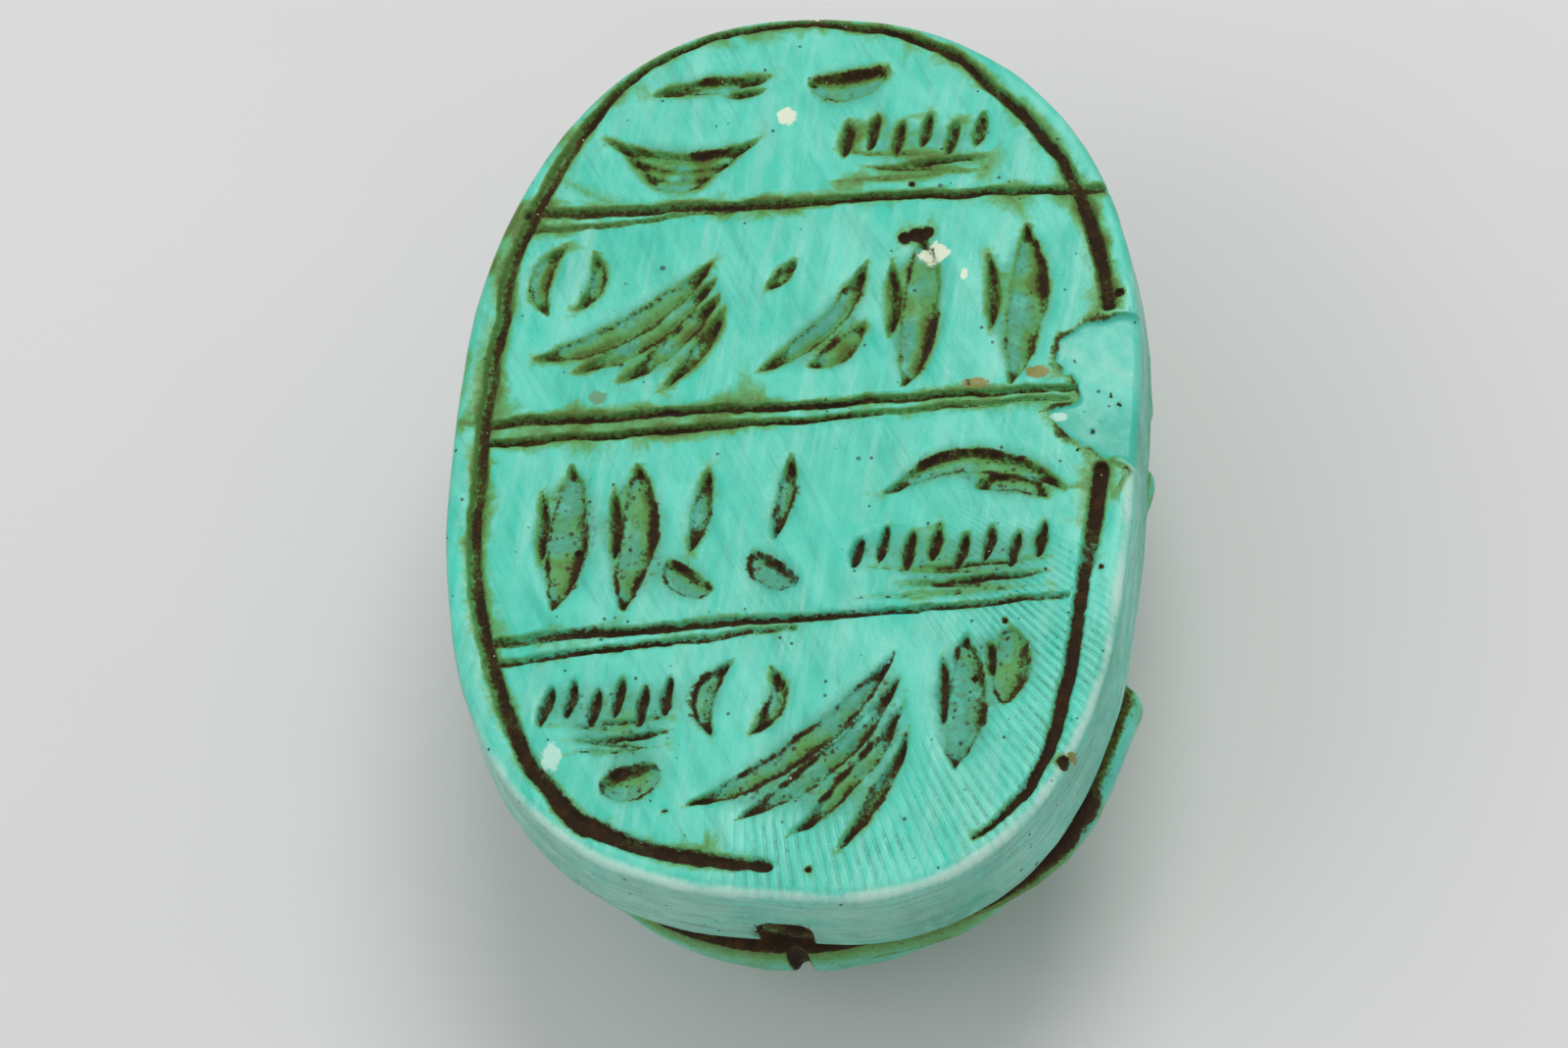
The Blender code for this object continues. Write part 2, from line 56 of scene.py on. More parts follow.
BED_INSET = 2.0
BED_HEAD_INSET = 6.6
BED_DEPTH = 11.8
SHELL_INSET = 1.3
SHELL_HEAD_INSET = 9.5
SHELL_EDGE_DEPTH = 10.4
SHELL_ROOT = 2.6
SHELL_PLAN_POWER = 2.12
SHELL_SECTION_POWER = 2.2
REST_SPOT_SAG = 0.4

BACK_LINE_WIDTH = 1.1
BACK_LINE_STATIONS = 33
NECK_LINE_Y = 6.5
NECK_LINE_BOW = 1.2
MARGIN_SHARE = 0.88
MARGIN_TAIL_DEG = -86.0
SHOULDER_NOTCH_SHARE = 0.66
SHOULDER_NOTCH_LENGTH = 5.0
NOTCH_STATIONS = 7
NOTCH_TAPER = 0.3

HEAD_HALF_WIDTH = 8.6
HEAD_HALF_LENGTH = 7.5
HEAD_INSET = 4.2
HEAD_TOP_DEPTH = 17.5
HEAD_MID_DEPTH = 12.0
EYE_RADIUS = 2.0
EYE_ANGLE_DEG = 20.0
SHIELD_HALF_WIDTH = 9.0
SHIELD_LENGTH = 17.0
SHIELD_INSET = 0.8
SHIELD_DEPTH = 13.2
SHIELD_TAPER = 0.82
SHIELD_TEETH = 6
TOOTH_SPREAD_DEG = 96.0
TOOTH_NOTCH = 1.1
TOOTH_ROOT_SHARE = 0.6

# Each leg from the body to its knee and on to its foot: (degrees round the outline, inset, depth)
LEG_RADIUS = 1.5
FOOT_SHARE = 0.70
SHIN_STATIONS = 12
LEFT_HIND_TUCK = 1.2
LEGS = (
    ((22, 7.5, 12.8), (12, 1.4, 8.8), (24, 1.3, 7.7), (42, 1.6, 7.0), (62, 2.2, 6.8)),
    ((7, 5.6, 13.4), (2, 1.2, 8.8), (-5, 1.8, 8.4), (-13, 2.6, 9.0), (-21, 2.9, 9.7)),
    ((-15, 5.6, 13.4), (-27, 0.5, 8.7), (-44, 0.9, 8.2), (-64, 2.4, 8.3), (-90, 2.6, 8.6)),
)

BORE_DEPTH = 5.1
BORE_HALF_WIDTH = 1.5
BORE_OFFSET = 0.2
BORE_REACH = 4.0

# How softly the forms run into each other
UNDERSIDE_SOFTNESS = 0.35
JOIN_SOFTNESS = 0.35
LINE_SOFTNESS = 0.30
SMALL_SOFTNESS = 0.15
TOOTH_SOFTNESS = 0.20
SHIELD_SOFTNESS = 0.70
PLINTH_JOIN_SOFTNESS = 0.12
REST_SPOT_SOFTNESS = 0.20

# The engraved border as arcs in degrees, and its stops: (degrees, inset, width)
BORDER_ARCS_DEG = ((-57, -5), (17, 269))
BORDER_STOPS = (
    (-57, 1.5, 0.4), (-47, 1.2, 0.9), (-36, 1.9, 1.1), (-20, 2.35, 1.1), (-5, 2.1, 1.2),
    (17, 1.75, 1.2), (40, 1.7, 1.0), (55, 1.9, 0.85), (62, 1.4, 0.8), (72, 0.95, 0.75),
    (90, 0.6, 0.65), (110, 0.6, 0.6), (124, 0.7, 0.7), (137, 1.2, 1.0), (155, 1.5, 1.1),
    (165, 2.0, 1.1), (200, 1.9, 1.1), (220, 2.1, 1.25), (232, 1.5, 1.4), (245, 1.8, 1.35),
    (258, 2.0, 1.2), (269, 2.1, 0.9),
)
BORDER_STEP_DEG = 1.5
CUT_DEPTH = 0.5
BORDER_FILL = 1.0
ROW_LINE_FILL = 0.85

# The lines between the rows: (left end, right end, width at the left, width at the right)
ROW_LINES = (
    ((-17.3, 16.45), (18.4, 16.95), 0.80, 0.65),
    ((-17.0, 15.2), (-2.0, 16.5), 0.45, 0.35),
    ((-18.5, 1.75), (16.6, 3.1), 0.80, 0.55),
    ((-18.5, 0.35), (16.2, 2.4), 0.65, 0.40),
    ((-17.1, -13.0), (16.5, -10.8), 0.90, 0.45),
    ((-17.0, -14.5), (0.5, -12.4), 0.65, 0.45),
    ((-20.3, 1.9), (-18.5, 1.8), 0.22, 0.4),
    ((18.4, 16.95), (19.9, 17.0), 0.4, 0.2),
    ((18.3, -1.9), (20.0, -2.7), 0.3, 0.35),
    ((20.0, -2.7), (18.9, -4.6), 0.35, 0.2),
)

# The strokes in the place of the inscription
ROW_PITCH = 14.3
FIRST_LINE_Y = 16.7
STROKE_WIDTH = 1.1
CUT_STATIONS = 9
STROKE_TIP_SHARE = 0.15

# The old chip in the face's right edge: its outline, from the top round by the left
CHIP_OUTLINE = (
    (21.8, 8.0), (18.6, 7.8), (16.9, 7.4), (15.7, 6.3), (15.6, 4.9), (16.4, 3.4), (16.6, 2.1),
    (15.0, 1.5), (15.6, 0.5), (17.0, -0.9), (18.3, -1.9), (22.0, -2.7),
)
CHIP_WINDOW = ((13, -5), (22, 10))
CHIP_LIP = 0.20
CHIP_DEPTH = 0.40
BASIN_DEPTH = 0.10
FACE_WEAR = 0.075

# File marks that fan out towards the lower right of the face
FILE_CENTRE = (-1.5, 2.2)
FILE_PITCH_DEG = 1.22
FILE_SWAY = 0.45
FILE_SWAY_LENGTH = 3.1
FILE_DEPTH = 0.05
FILE_START_DEG = (-97, -88)
FILE_END_DEG = (-24, -40)

# Small pits and holes in the face: (x, y, radius, depth)
PITS = (
    (19.14, 9.51, 0.34, 0.4), (16.51, -21.53, 0.42, 0.4), (6.81, 14.0, 0.52, 0.4),
    (6.1, 13.8, 0.45, 0.3), (7.5, 14.15, 0.42, 0.3), (6.4, 17.6, 0.22, 0.2),
    (18.7, 2.7, 0.12, 0.15), (19.2, 2.1, 0.14, 0.15), (18.2, 0.9, 0.10, 0.15),
    (-12.6, -7.0, 0.3, 0.25), (12.9, -12.4, 0.2, 0.2),
    (18.4, -9.0, 0.16, 0.2), (2.1, -28.1, 0.22, 0.2), (-6.4, -24.2, 0.16, 0.2),
    (16.9, -1.2, 0.12, 0.15), (17.7, 0.2, 0.14, 0.15), (11.2, -15.9, 0.22, 0.2),
)

# Spots where the glaze is gone: (x, y, half width, half height, colour)
TAN = (0.215, 0.215, 0.040, 1)
FAINT = (0.110, 0.310, 0.160, 1)
CREAM = (0.700, 0.780, 0.600, 1)
PALE = (0.420, 0.730, 0.610, 1)
SPOTS = (
    (17.17, -21.11, 0.42, 0.36, TAN), (14.35, 4.21, 0.70, 0.42, TAN),
    (10.69, 3.54, 0.80, 0.36, TAN), (7.90, 12.70, 0.90, 0.66, CREAM),
    (9.80, 11.10, 0.20, 0.34, CREAM), (-1.49, 22.85, 0.60, 0.60, CREAM),
    (-12.03, 3.34, 0.55, 0.45, FAINT), (-13.27, -20.63, 0.55, 0.90, PALE),
    (15.70, 1.15, 0.55, 0.28, PALE),
)

# The samples of the outline, the map of the face, and the grid for tracing the surface
OUTLINE_SAMPLES = 2880
MAP_STEP = 0.05
MAP_X = np.arange(-22.0, 22.0, MAP_STEP)
MAP_Y = np.arange(-32.0, 32.0, MAP_STEP)
HALO_REACH = 2.2
SPOT_REACH = 1.5
GRID_STEP = (0.18, 0.18, 0.20)
BLOCK = 4
GRID_MARGIN = 0.7
PART_REACH = 1.6
TRIANGLE_LIMIT = 194000
CHUNK = 400000
SLOPE_STEP = 0.04
FAR = 9.0
TINY = 1e-6

# The photograph's view, with the target on the face and the scale there in its pixels
PHOTO_WIDTH = 1600
SENSOR_WIDTH = 36.0
VIEW_AZIMUTH_DEG = 17.0
VIEW_ELEVATION_DEG = 60.0
VIEW_ROLL_DEG = -16.4123
VIEW_DISTANCE = 330.0
CLIP_START = 0.01
CLIP_END = 20.0
VIEW_TARGET = (-0.3342, -5.6878)
PIXELS_PER_MM = 17.3608


# Numbers and noise

def mix(start, end, share):
    return start + (end - start) * share


def clip01(values):
    return np.clip(values, 0.0, 1.0)


def eased(share):
    return share * share * (3 - 2 * share)


def smoothstep(values, low, high):
    return eased(clip01((values - low) / (high - low)))


def smooth_min(first, second, softness):
    overlap = np.maximum(softness - np.abs(first - second), 0)
    return np.minimum(first, second) - overlap ** 2 / (4 * softness)


def smooth_max(first, second, softness):
    return -smooth_min(-first, -second, softness)


NOISE_CELLS = 64
noise_tables = {}


def noise_table(seed):
    if seed not in noise_tables:
        generator = np.random.default_rng(seed)
        values = generator.uniform(-1, 1, (NOISE_CELLS,) * 3)
        noise_tables[seed] = values.astype(np.float32)
    return noise_tables[seed]


def noise(points, cell, seed):
    """Smooth noise between -1 and 1 whose bumps are about one cell wide."""
    table = noise_table(seed)
    lows = []
    shares = []
    for values in points:
        scaled = values / cell + NOISE_CELLS / 2
        low = np.floor(scaled)
        lows.append(low.astype(np.int32))
        shares.append(eased(scaled - low))
    total = np.zeros_like(shares[0])
    for corner in np.ndindex(2, 2, 2):
        weight = 1.0
        index = []
        for low, share, step in zip(lows, shares, corner):
            weight = weight * (share if step else 1 - share)
            index.append((low + step) % NOISE_CELLS)
        total += weight * table[tuple(index)]
    return total


def map_noise(cell, seed):
    """Noise over the map of the face."""
    layer = noise_table(seed)[0]
    for values in (MAP_Y, MAP_X):
        scaled = values / cell + NOISE_CELLS / 2
        low = np.floor(scaled).astype(int)
        share = eased((scaled - low)[:, None])
        layer = mix(layer[low % NOISE_CELLS], layer[(low + 1) % NOISE_CELLS], share).T
    return layer


# The outline of the engraved face

def rim_points(angles):
    """Points of the outline; the angles run from +X round by the head."""
    across = np.cos(angles)
    along = np.sin(angles)
    reach = (np.abs(across) ** OUTLINE_POWER + np.abs(along) ** OUTLINE_POWER) ** (-1 / OUTLINE_POWER)
    x = FACE_WIDTH / 2 * (1 - HEAD_NARROWING * reach * along) * reach * across
    y = FACE_LENGTH / 2 * reach * along
    wave = sum(c * np.cos(n * angles) + s * np.sin(n * angles) for n, c, s in HAND_WAVES)
    stretch = 1 + wave / np.hypot(x, y)
    return x * stretch, y * stretch


def outline_points(angles, insets):
    """The outline's points moved inwards by the insets."""
    step = math.radians(1)
    x, y = rim_points(angles)
    next_x, next_y = rim_points(angles + step)
    last_x, last_y = rim_points(angles - step)
    run_x = next_x - last_x
    run_y = next_y - last_y
    length = np.hypot(run_x, run_y)
    return x - run_y / length * insets, y + run_x / length * insets


def outline_tables():
    """The outline's angle seen from the middle, radius and slant, in the order of the angles."""
    angles = np.linspace(0, 2 * math.pi, OUTLINE_SAMPLES, endpoint=False)
    x, y = rim_points(angles)
    inner_x, inner_y = outline_points(angles, 1.0)
    polar = np.arctan2(y, x) % (2 * math.pi)
    radius = np.hypot(x, y)
    slant = ((x - inner_x) * x + (y - inner_y) * y) / radius
    order = np.argsort(polar)
    return polar[order], radius[order], slant[order]


RIM_POLAR, RIM_RADIUS, RIM_SLANT = outline_tables()


def rim_distance(x, y):
    """Distance outside the face's outline, negative inside."""
    polar = np.arctan2(y, x) % (2 * math.pi)
    radius = np.interp(polar, RIM_POLAR, RIM_RADIUS, period=2 * math.pi)
    slant = np.interp(polar, RIM_POLAR, RIM_SLANT, period=2 * math.pi)
    return (np.hypot(x, y) - radius) * slant


# The marks: strokes as (start, end, bow, width), in a box one wide and one high.
# A bow is a share of the stroke's length, and a width counts in stroke widths.

WEDGE = (((0.10, 0.50), (-0.10, -0.50), 0.04, 2.1), ((-0.46, 0.34), (-0.40, -0.18), 0.05, 0.8))
STAFF = (((0.20, 0.50), (-0.06, -0.14), 0.03, 1.0), ((-0.42, -0.20), (0.40, -0.42), -0.16, 1.7))
BRACKETS = (((-0.10, 0.50), (-0.30, -0.50), -0.20, 1.2), ((0.26, 0.40), (0.10, -0.46), 0.22, 1.0))
BROW = (((-0.50, -0.34), (0.50, -0.30), 0.20, 1.5), ((0.02, -0.22), (0.42, -0.42), 0.16, 1.3))
SWEEP = (((-0.50, -0.40), (0.50, 0.30), 0.02, 1.0), ((0.10, -0.50), (0.46, -0.36), 0.0, 0.6))
SCOOP = (((-0.44, -0.12), (0.46, 0.22), -0.12, 2.0),)
COMMAS = (
    ((0.50, 0.46), (-0.42, -0.50), 0.12, 1.2),
    ((-0.12, 0.50), (-0.36, 0.22), 0.06, 0.9),
    ((0.50, -0.10), (0.04, -0.48), 0.10, 1.4),
)


def nested(count):
    """Sagging strokes under each other, each shorter than the last."""
    strokes = []
    for index in range(count):
        start = (-0.50 + 0.13 * index, 0.46 - 0.30 * index)
        end = (0.50 - 0.15 * index, 0.40 - 0.26 * index)
        strokes.append((start, end, -0.18, 1.2))
    return strokes


def sheaf(count):
    """Long strokes that fan out from one end."""
    strokes = []
    for index in range(count):
        share = index / (count - 1)
        start = (0.40 + 0.08 * share, 0.50 - 0.36 * share)
        end = (-0.50 + 0.68 * share, -0.24 - 0.26 * share)
        strokes.append((start, end, 0.10 - 0.05 * share, 1.5 - 0.6 * share))
    return strokes


def ticks(count):
    """A row of short upright strokes, high and low by turns."""
    strokes = []
    for index in range(count):
        x = (index + 0.5) / count - 0.5
        top = 0.50 if index % 2 else 0.36
        strokes.append(((x + 0.02, top), (x - 0.02, top - 0.66), 0.0, 0.8))
    return strokes


def scratches(count):
    """Long faint scratches above each other."""
    strokes = []
    for index in range(count):
        y = index / (count - 1) - 0.5
        lean = 0.16 * (-1) ** index
        start = (-0.50 + 0.19 * (index % 3), y - lean)
        end = (0.50 - 0.17 * (index % 2), y + lean)
        strokes.append((start, end, 0.02 * (index % 2), 0.28 + 0.12 * (index % 3)))
    return strokes


# Each row's marks: (strokes, middle across, middle along, width, height).
# Across is in shares of the face's half width, and along in shares of the row's pitch.
ROWS = (
    (
        (SWEEP, -0.30, 0.10, 0.36, 0.09),
        (nested(3), -0.38, -0.29, 0.47, 0.30),
        (SCOOP, 0.10, 0.11, 0.25, 0.17),
        (ticks(6), 0.31, -0.21, 0.48, 0.27),
        (scratches(4), 0.31, -0.34, 0.48, 0.11),
    ),
    (
        (BRACKETS, -0.69, 0.15, 0.22, 0.33),
        (sheaf(4), -0.50, -0.10, 0.56, 0.62),
        (COMMAS, 0.02, -0.05, 0.34, 0.54),
        (WEDGE, 0.33, -0.05, 0.16, 0.74),
        (WEDGE, 0.64, -0.04, 0.21, 0.76),
    ),
    (
        (WEDGE, -0.66, -0.10, 0.15, 0.66),
        (WEDGE, -0.46, -0.10, 0.13, 0.67),
        (STAFF, -0.28, -0.09, 0.15, 0.63),
        (STAFF, -0.04, -0.05, 0.16, 0.66),
        (BROW, 0.52, 0.16, 0.52, 0.30),
        (ticks(8), 0.46, -0.21, 0.60, 0.27),
        (scratches(5), 0.46, -0.33, 0.60, 0.13),
    ),
    (
        (ticks(6), -0.50, 0.11, 0.41, 0.30),
        (scratches(5), -0.50, -0.02, 0.41, 0.14),
        (SCOOP, -0.42, -0.21, 0.17, 0.18),
        (BRACKETS, -0.11, 0.14, 0.28, 0.36),
        (sheaf(4), 0.06, -0.12, 0.64, 0.90),
        (WEDGE, 0.51, 0.10, 0.13, 0.60),
        (WEDGE, 0.64, 0.27, 0.11, 0.32),
    ),
)


# The map of the face

def map_window(low, high, margin):
    """The slice of the map between two corners, with a margin round them."""
    columns = np.searchsorted(MAP_X, (low[0] - margin, high[0] + margin))
    rows = np.searchsorted(MAP_Y, (low[1] - margin, high[1] + margin))
    return slice(*rows), slice(*columns)


def new_cuts():
    """Maps of the distance outside the nearest cut, its half width, and the place across it."""
    x, y = np.meshgrid(MAP_X, MAP_Y)
    wobble_x = 0.15 * map_noise(2.3, 11) + 0.07 * map_noise(0.7, 12) + 0.04 * map_noise(0.3, 15)
    wobble_y = 0.15 * map_noise(2.3, 13) + 0.07 * map_noise(0.7, 14) + 0.04 * map_noise(0.3, 16)
    return {
        "x": x + wobble_x,
        "y": y + wobble_y,
        "edge": np.full_like(x, HALO_REACH),
        "half": np.full_like(x, STROKE_WIDTH / 2),
        "side": np.zeros_like(x),
        "line": np.zeros_like(x),
    }


def add_cut(cuts, xs, ys, half_widths, fill=0.0):
    """Enter a cut along the points in the maps; fill is 1 where soil fills all of it."""
    for index in range(len(xs) - 1):
        start = np.array((xs[index], ys[index]))
        end = np.array((xs[index + 1], ys[index + 1]))
        margin = HALO_REACH + half_widths[index]
        window = map_window(np.minimum(start, end), np.maximum(start, end), margin)
        run = end - start
        length = np.hypot(*run)
        off_x = cuts["x"][window] - start[0]
        off_y = cuts["y"][window] - start[1]
        share = clip01((off_x * run[0] + off_y * run[1]) / length ** 2)
        off_x = off_x - run[0] * share
        off_y = off_y - run[1] * share
        half = mix(half_widths[index], half_widths[index + 1], share)
        edge = np.hypot(off_x, off_y) - half
        side = (off_y * run[0] - off_x * run[1]) / (length * half)
        closer = edge < cuts["edge"][window]
        for name, layer in (("edge", edge), ("half", half), ("side", side)):
            cuts[name][window][closer] = layer[closer]
        cuts["line"][window][closer] = fill


def add_border(cuts):
    degrees_stops, inset_stops, width_stops = np.array(BORDER_STOPS, float).T
    for start, end in BORDER_ARCS_DEG:
        count = int((end - start) / BORDER_STEP_DEG) + 1
        degrees = np.linspace(start, end, count)
        insets = np.interp(degrees, degrees_stops, inset_stops)
        widths = np.interp(degrees, degrees_stops, width_stops)
        xs, ys = outline_points(np.radians(degrees), insets)
        add_cut(cuts, xs, ys, widths / 2, BORDER_FILL)


def add_row_lines(cuts):
    for start, end, start_width, end_width in ROW_LINES:
        shares = np.linspace(0, 1, CUT_STATIONS)
        xs = mix(start[0], end[0], shares)
        ys = mix(start[1], end[1], shares)
        add_cut(cuts, xs, ys, mix(start_width, end_width, shares) / 2, ROW_LINE_FILL)


def add_stroke(cuts, start, end, bow, width):
    run = end - start
    shares = np.linspace(0, 1, CUT_STATIONS)
    rise = bow * 4 * shares * (1 - shares)
    xs = start[0] + run[0] * shares - run[1] * rise
    ys = start[1] + run[1] * shares + run[0] * rise
    fullness = np.maximum(np.sin(math.pi * shares) ** 0.6, STROKE_TIP_SHARE)
    add_cut(cuts, xs, ys, STROKE_WIDTH * width * fullness / 2)


def add_rows(cuts):
    """Rows of plain strokes, each mark in its box."""
    for index, marks in enumerate(ROWS):
        row_y = FIRST_LINE_Y + ROW_PITCH * (0.5 - index)
        for strokes, across, along, width, height in marks:
            centre = np.array((across * FACE_WIDTH / 2, row_y + along * ROW_PITCH))
            box = np.array((width * FACE_WIDTH / 2, height * ROW_PITCH))
            for start, end, bow, stroke_width in strokes:
                add_stroke(cuts, centre + box * start, centre + box * end, bow, stroke_width)


def blurred(layer, width):
    """The map layer smoothed over the given width."""
    rows = np.fft.fftfreq(layer.shape[0], MAP_STEP)[:, None]
    columns = np.fft.rfftfreq(layer.shape[1], MAP_STEP)[None, :]
    damping = np.exp(-2 * (math.pi * width) ** 2 * (rows ** 2 + columns ** 2))
    return np.fft.irfft2(np.fft.rfft2(layer) * damping, layer.shape)


def chip_map(x, y):
    """Distance inside the chip's ragged edge."""
    window = map_window(*CHIP_WINDOW, 0)
    place_x = (x + 0.28 * map_noise(1.3, 21) + 0.14 * map_noise(0.5, 22))[window]
    place_y = (y + 0.28 * map_noise(1.3, 24) + 0.14 * map_noise(0.5, 26))[window]
    nearest = np.full_like(place_x, FAR)
    crossings = np.zeros(place_x.shape, bool)
    for start, end in zip(CHIP_OUTLINE, CHIP_OUTLINE[1:] + CHIP_OUTLINE[:1]):
        run = np.subtract(end, start)
        off_x = place_x - start[0]
        off_y = place_y - start[1]
        share = clip01((off_x * run[0] + off_y * run[1]) / (run @ run))
        nearest = np.minimum(nearest, np.hypot(off_x - run[0] * share, off_y - run[1] * share))
        spans = (start[1] > place_y) != (end[1] > place_y)
        crossings ^= spans & (off_x < run[0] * off_y / run[1])
    result = np.full_like(x, -FAR)
    result[window] = np.where(crossings, nearest, -nearest)
    return result


def file_mark_maps(x, y):
    """Where the file marks are, and how deep their grooves are, from 0 to 1."""
    off_x = x - FILE_CENTRE[0]
    off_y = y - FILE_CENTRE[1]
    angle = np.degrees(np.arctan2(off_y, off_x))
    phase = angle / FILE_PITCH_DEG + FILE_SWAY * np.sin(np.hypot(off_x, off_y) / FILE_SWAY_LENGTH)
    groove = (0.5 + 0.5 * np.cos(2 * math.pi * phase)) ** 2
    sector = smoothstep(angle, *FILE_START_DEG) * smoothstep(angle, *FILE_END_DEG)
    inset = -rim_distance(x, y)
    reach = mix(8.0, 13.0, smoothstep(angle, -75, -50)) + 2.5 * map_noise(1.6, 31)
    near_rim = smoothstep(inset, reach, reach * 0.35)
    patchy = 0.85 + 0.5 * map_noise(2.2, 32)
    place = clip01(sector * near_rim * patchy)
    return place, place * groove


def region_strengths(x, y):
    """How green the stain and how dark the soil is in each part of the face."""
    upper = smoothstep(y, -14, 8)
    left = smoothstep(x, -8, -17)
    patchy = map_noise(4.5, 44)
    stain = clip01(0.45 + 0.50 * upper + 0.20 * left + 0.30 * patchy)
    soil = 1.07 - 0.18 * upper - 0.08 * left + 0.16 * patchy + 0.14 * map_noise(1.6, 45)
    return stain, np.clip(soil, 0.55, 1.08)


def cut_layers(cuts, x, y):
    """Height, soil, stain and tint of the cuts; the tint is partly deeper glaze and partly painted shade.
    """
    inside = -cuts["edge"]
    half = cuts["half"]
    side = np.clip(cuts["side"], -1, 1)
    filled = np.maximum(smoothstep(half, 0.58, 0.36), cuts["line"])
    patchy = map_noise(1.3, 43)
    stain_strength, soil_strength = region_strengths(x, y)

    wall_run = mix(0.26, 0.60 * half, filled)
    wall = smoothstep(inside, 0, wall_run)
    deep_side = smoothstep(side, -0.3, 0.75)
    floor_share = mix(0.42 + 0.58 * deep_side, 1.0, filled)
    crumbs = 0.14 * map_noise(0.35, 41) + 0.14 * map_noise(0.9, 42)
    scratch = smoothstep(half, 0.04, 0.34)
    height = -CUT_DEPTH * wall * floor_share * scratch * (1 + crumbs)

    unbroken = mix(clip01(0.6 + 1.2 * map_noise(0.6, 46)), 1, smoothstep(half, 0.10, 0.32))
    packed = unbroken * smoothstep(inside, -0.05, np.clip(0.9 * half, 0.08, 0.36)) * mix(0.45, 1.0, scratch)
    ragged = 0.74 + 0.75 * patchy + 0.5 * map_noise(0.5, 48)
    lining = np.exp(-((inside - 0.08) / 0.17) ** 2) * ragged * mix(0.70, 0.95, deep_side)
    trench = smoothstep(side, 0.0, 0.9) * wall * (0.84 + 0.6 * patchy)
    uneven = mix(1, 1.00 + 0.38 * map_noise(2.6, 47), cuts["line"])
    left_border = smoothstep(x, -12, -15) * smoothstep(y, -23, -15) * cuts["line"]
    inner_side = mix(0.78, 1.0, smoothstep(y, -6, 0))
    uneven = uneven * mix(1, mix(0.42, inner_side, smoothstep(side, -0.75, 0.15)), left_border)
    soil = mix(np.maximum(lining, trench), packed * uneven, filled) * soil_strength

    density = blurred(((inside > 0) & (cuts["line"] == 0)).astype(float), 0.8)
    halo_width = mix(0.06, 0.20, stain_strength) * (1 + 0.5 * patchy)
    halo = np.exp(-np.maximum(-inside, 0) / halo_width) * (0.85 + 0.5 * patchy)
    stain = stain_strength * halo
    across = mix(0.12, 0.98, smoothstep(side, -0.95, 0.75)) + 0.5 * patchy
    in_cut = np.maximum(mix(across, 0.85, filled), 0.8 * np.exp(-(inside / 0.16) ** 2))
    stain = np.where(inside > 0, stain_strength * in_cut, stain)
    crowded = smoothstep(density, 0.28, 0.62)
    stain = np.maximum(stain, 0.62 * crowded * stain_strength * (0.75 + 0.9 * patchy))
    by_rim = smoothstep(-rim_distance(x, y), 1.6, 0.2) * smoothstep(y, -8, 12) * smoothstep(x, 4, -6)
    stain = np.maximum(stain, by_rim * (0.50 + 0.7 * patchy))
    # Mid-green tint on the walls of open cuts and where cuts crowd: partly deeper glaze, partly painted
    # shade in the hollows.
    tint_and_shade = clip01(np.maximum(wall * (1 - filled) * 0.95, 0.75 * smoothstep(density, 0.15, 0.5)))
    height = height - BASIN_DEPTH * smoothstep(density, 0.12, 0.45)
    return {"height": height, "soil": soil, "stain": stain, "tint_and_shade": tint_and_shade}, wall


def deepen(layers, name, values):
    layers[name] = np.maximum(layers[name], values)


def chipped(layers, x, y):
    """Break the chip out of the layers."""
    inside = chip_map(x, y)
    chip = smoothstep(inside, 0, 0.25)
    fall = CHIP_DEPTH * smoothstep(x, 16.0, 20.5) * chip
    hollow = CHIP_LIP * chip + fall + 0.05 * chip * map_noise(1.2, 23)
    line = np.exp(-((inside + 0.02) / 0.17) ** 2) * smoothstep(x, 20.4, 18.6)
    patchy = map_noise(1.0, 25)
    for name, kept, edge in (("soil", 0.25, 0.58 + 0.6 * patchy), ("stain", 0.2, 0.95 + 0.4 * patchy)):
        layers[name] *= mix(1, kept, chip)
        deepen(layers, name, line * edge)
    layers["height"] = layers["height"] * (1 - chip) - hollow
    # More tint on the chip's lower part: painted shade.
    layers["tint_and_shade"] = mix(layers["tint_and_shade"], 0.42 * smoothstep(y, 3.2, 0.6), chip)
    layers["chip"] = chip * mix(0.15, 1.0, smoothstep(y, 0.5, 4.5))


def pitted(layers, x, y):
    """Sink the pits into the layers, with soil in them and stain round them."""
    for pit_x, pit_y, radius, depth in PITS:
        away = np.hypot(x - pit_x, y - pit_y) / radius
        layers["height"] -= depth * smoothstep(away, 1.0, 0.5)
        deepen(layers, "soil", smoothstep(away, 1.15, 0.75))
        deepen(layers, "stain", 0.6 * smoothstep(away, 1.9, 1.0))


def face_maps():
    """Height, soil, stain, tint, chip and file marks over the face; the tint is partly painted shade."""
    x, y = np.meshgrid(MAP_X, MAP_Y)
    cuts = new_cuts()
    add_border(cuts)
    add_row_lines(cuts)
    add_rows(cuts)
    layers, wall = cut_layers(cuts, x, y)
    chipped(layers, x, y)
    pitted(layers, x, y)
    marks, grooves = file_mark_maps(x, y)
    waviness = 0.05 * map_noise(9.0, 51) + 0.025 * map_noise(3.0, 52) - FACE_WEAR
    layers["height"] += waviness
    layers["height"] -= FILE_DEPTH * grooves * (1 - wall)
    layers["marks"] = marks * (1 - wall)
    return layers


def sample_map(layer, x, y):
    column = np.clip((x - MAP_X[0]) / MAP_STEP, 0, len(MAP_X) - 1.01)
    row = np.clip((y - MAP_Y[0]) / MAP_STEP, 0, len(MAP_Y) - 1.01)
    left = column.astype(np.int32)
    below = row.astype(np.int32)
    across = column - left
    lower = mix(layer[below, left], layer[below, left + 1], across)
    upper = mix(layer[below + 1, left], layer[below + 1, left + 1], across)
    return mix(lower, upper, row - below)


FACE = face_maps()


# Distances from the parts of the carving, negative inside

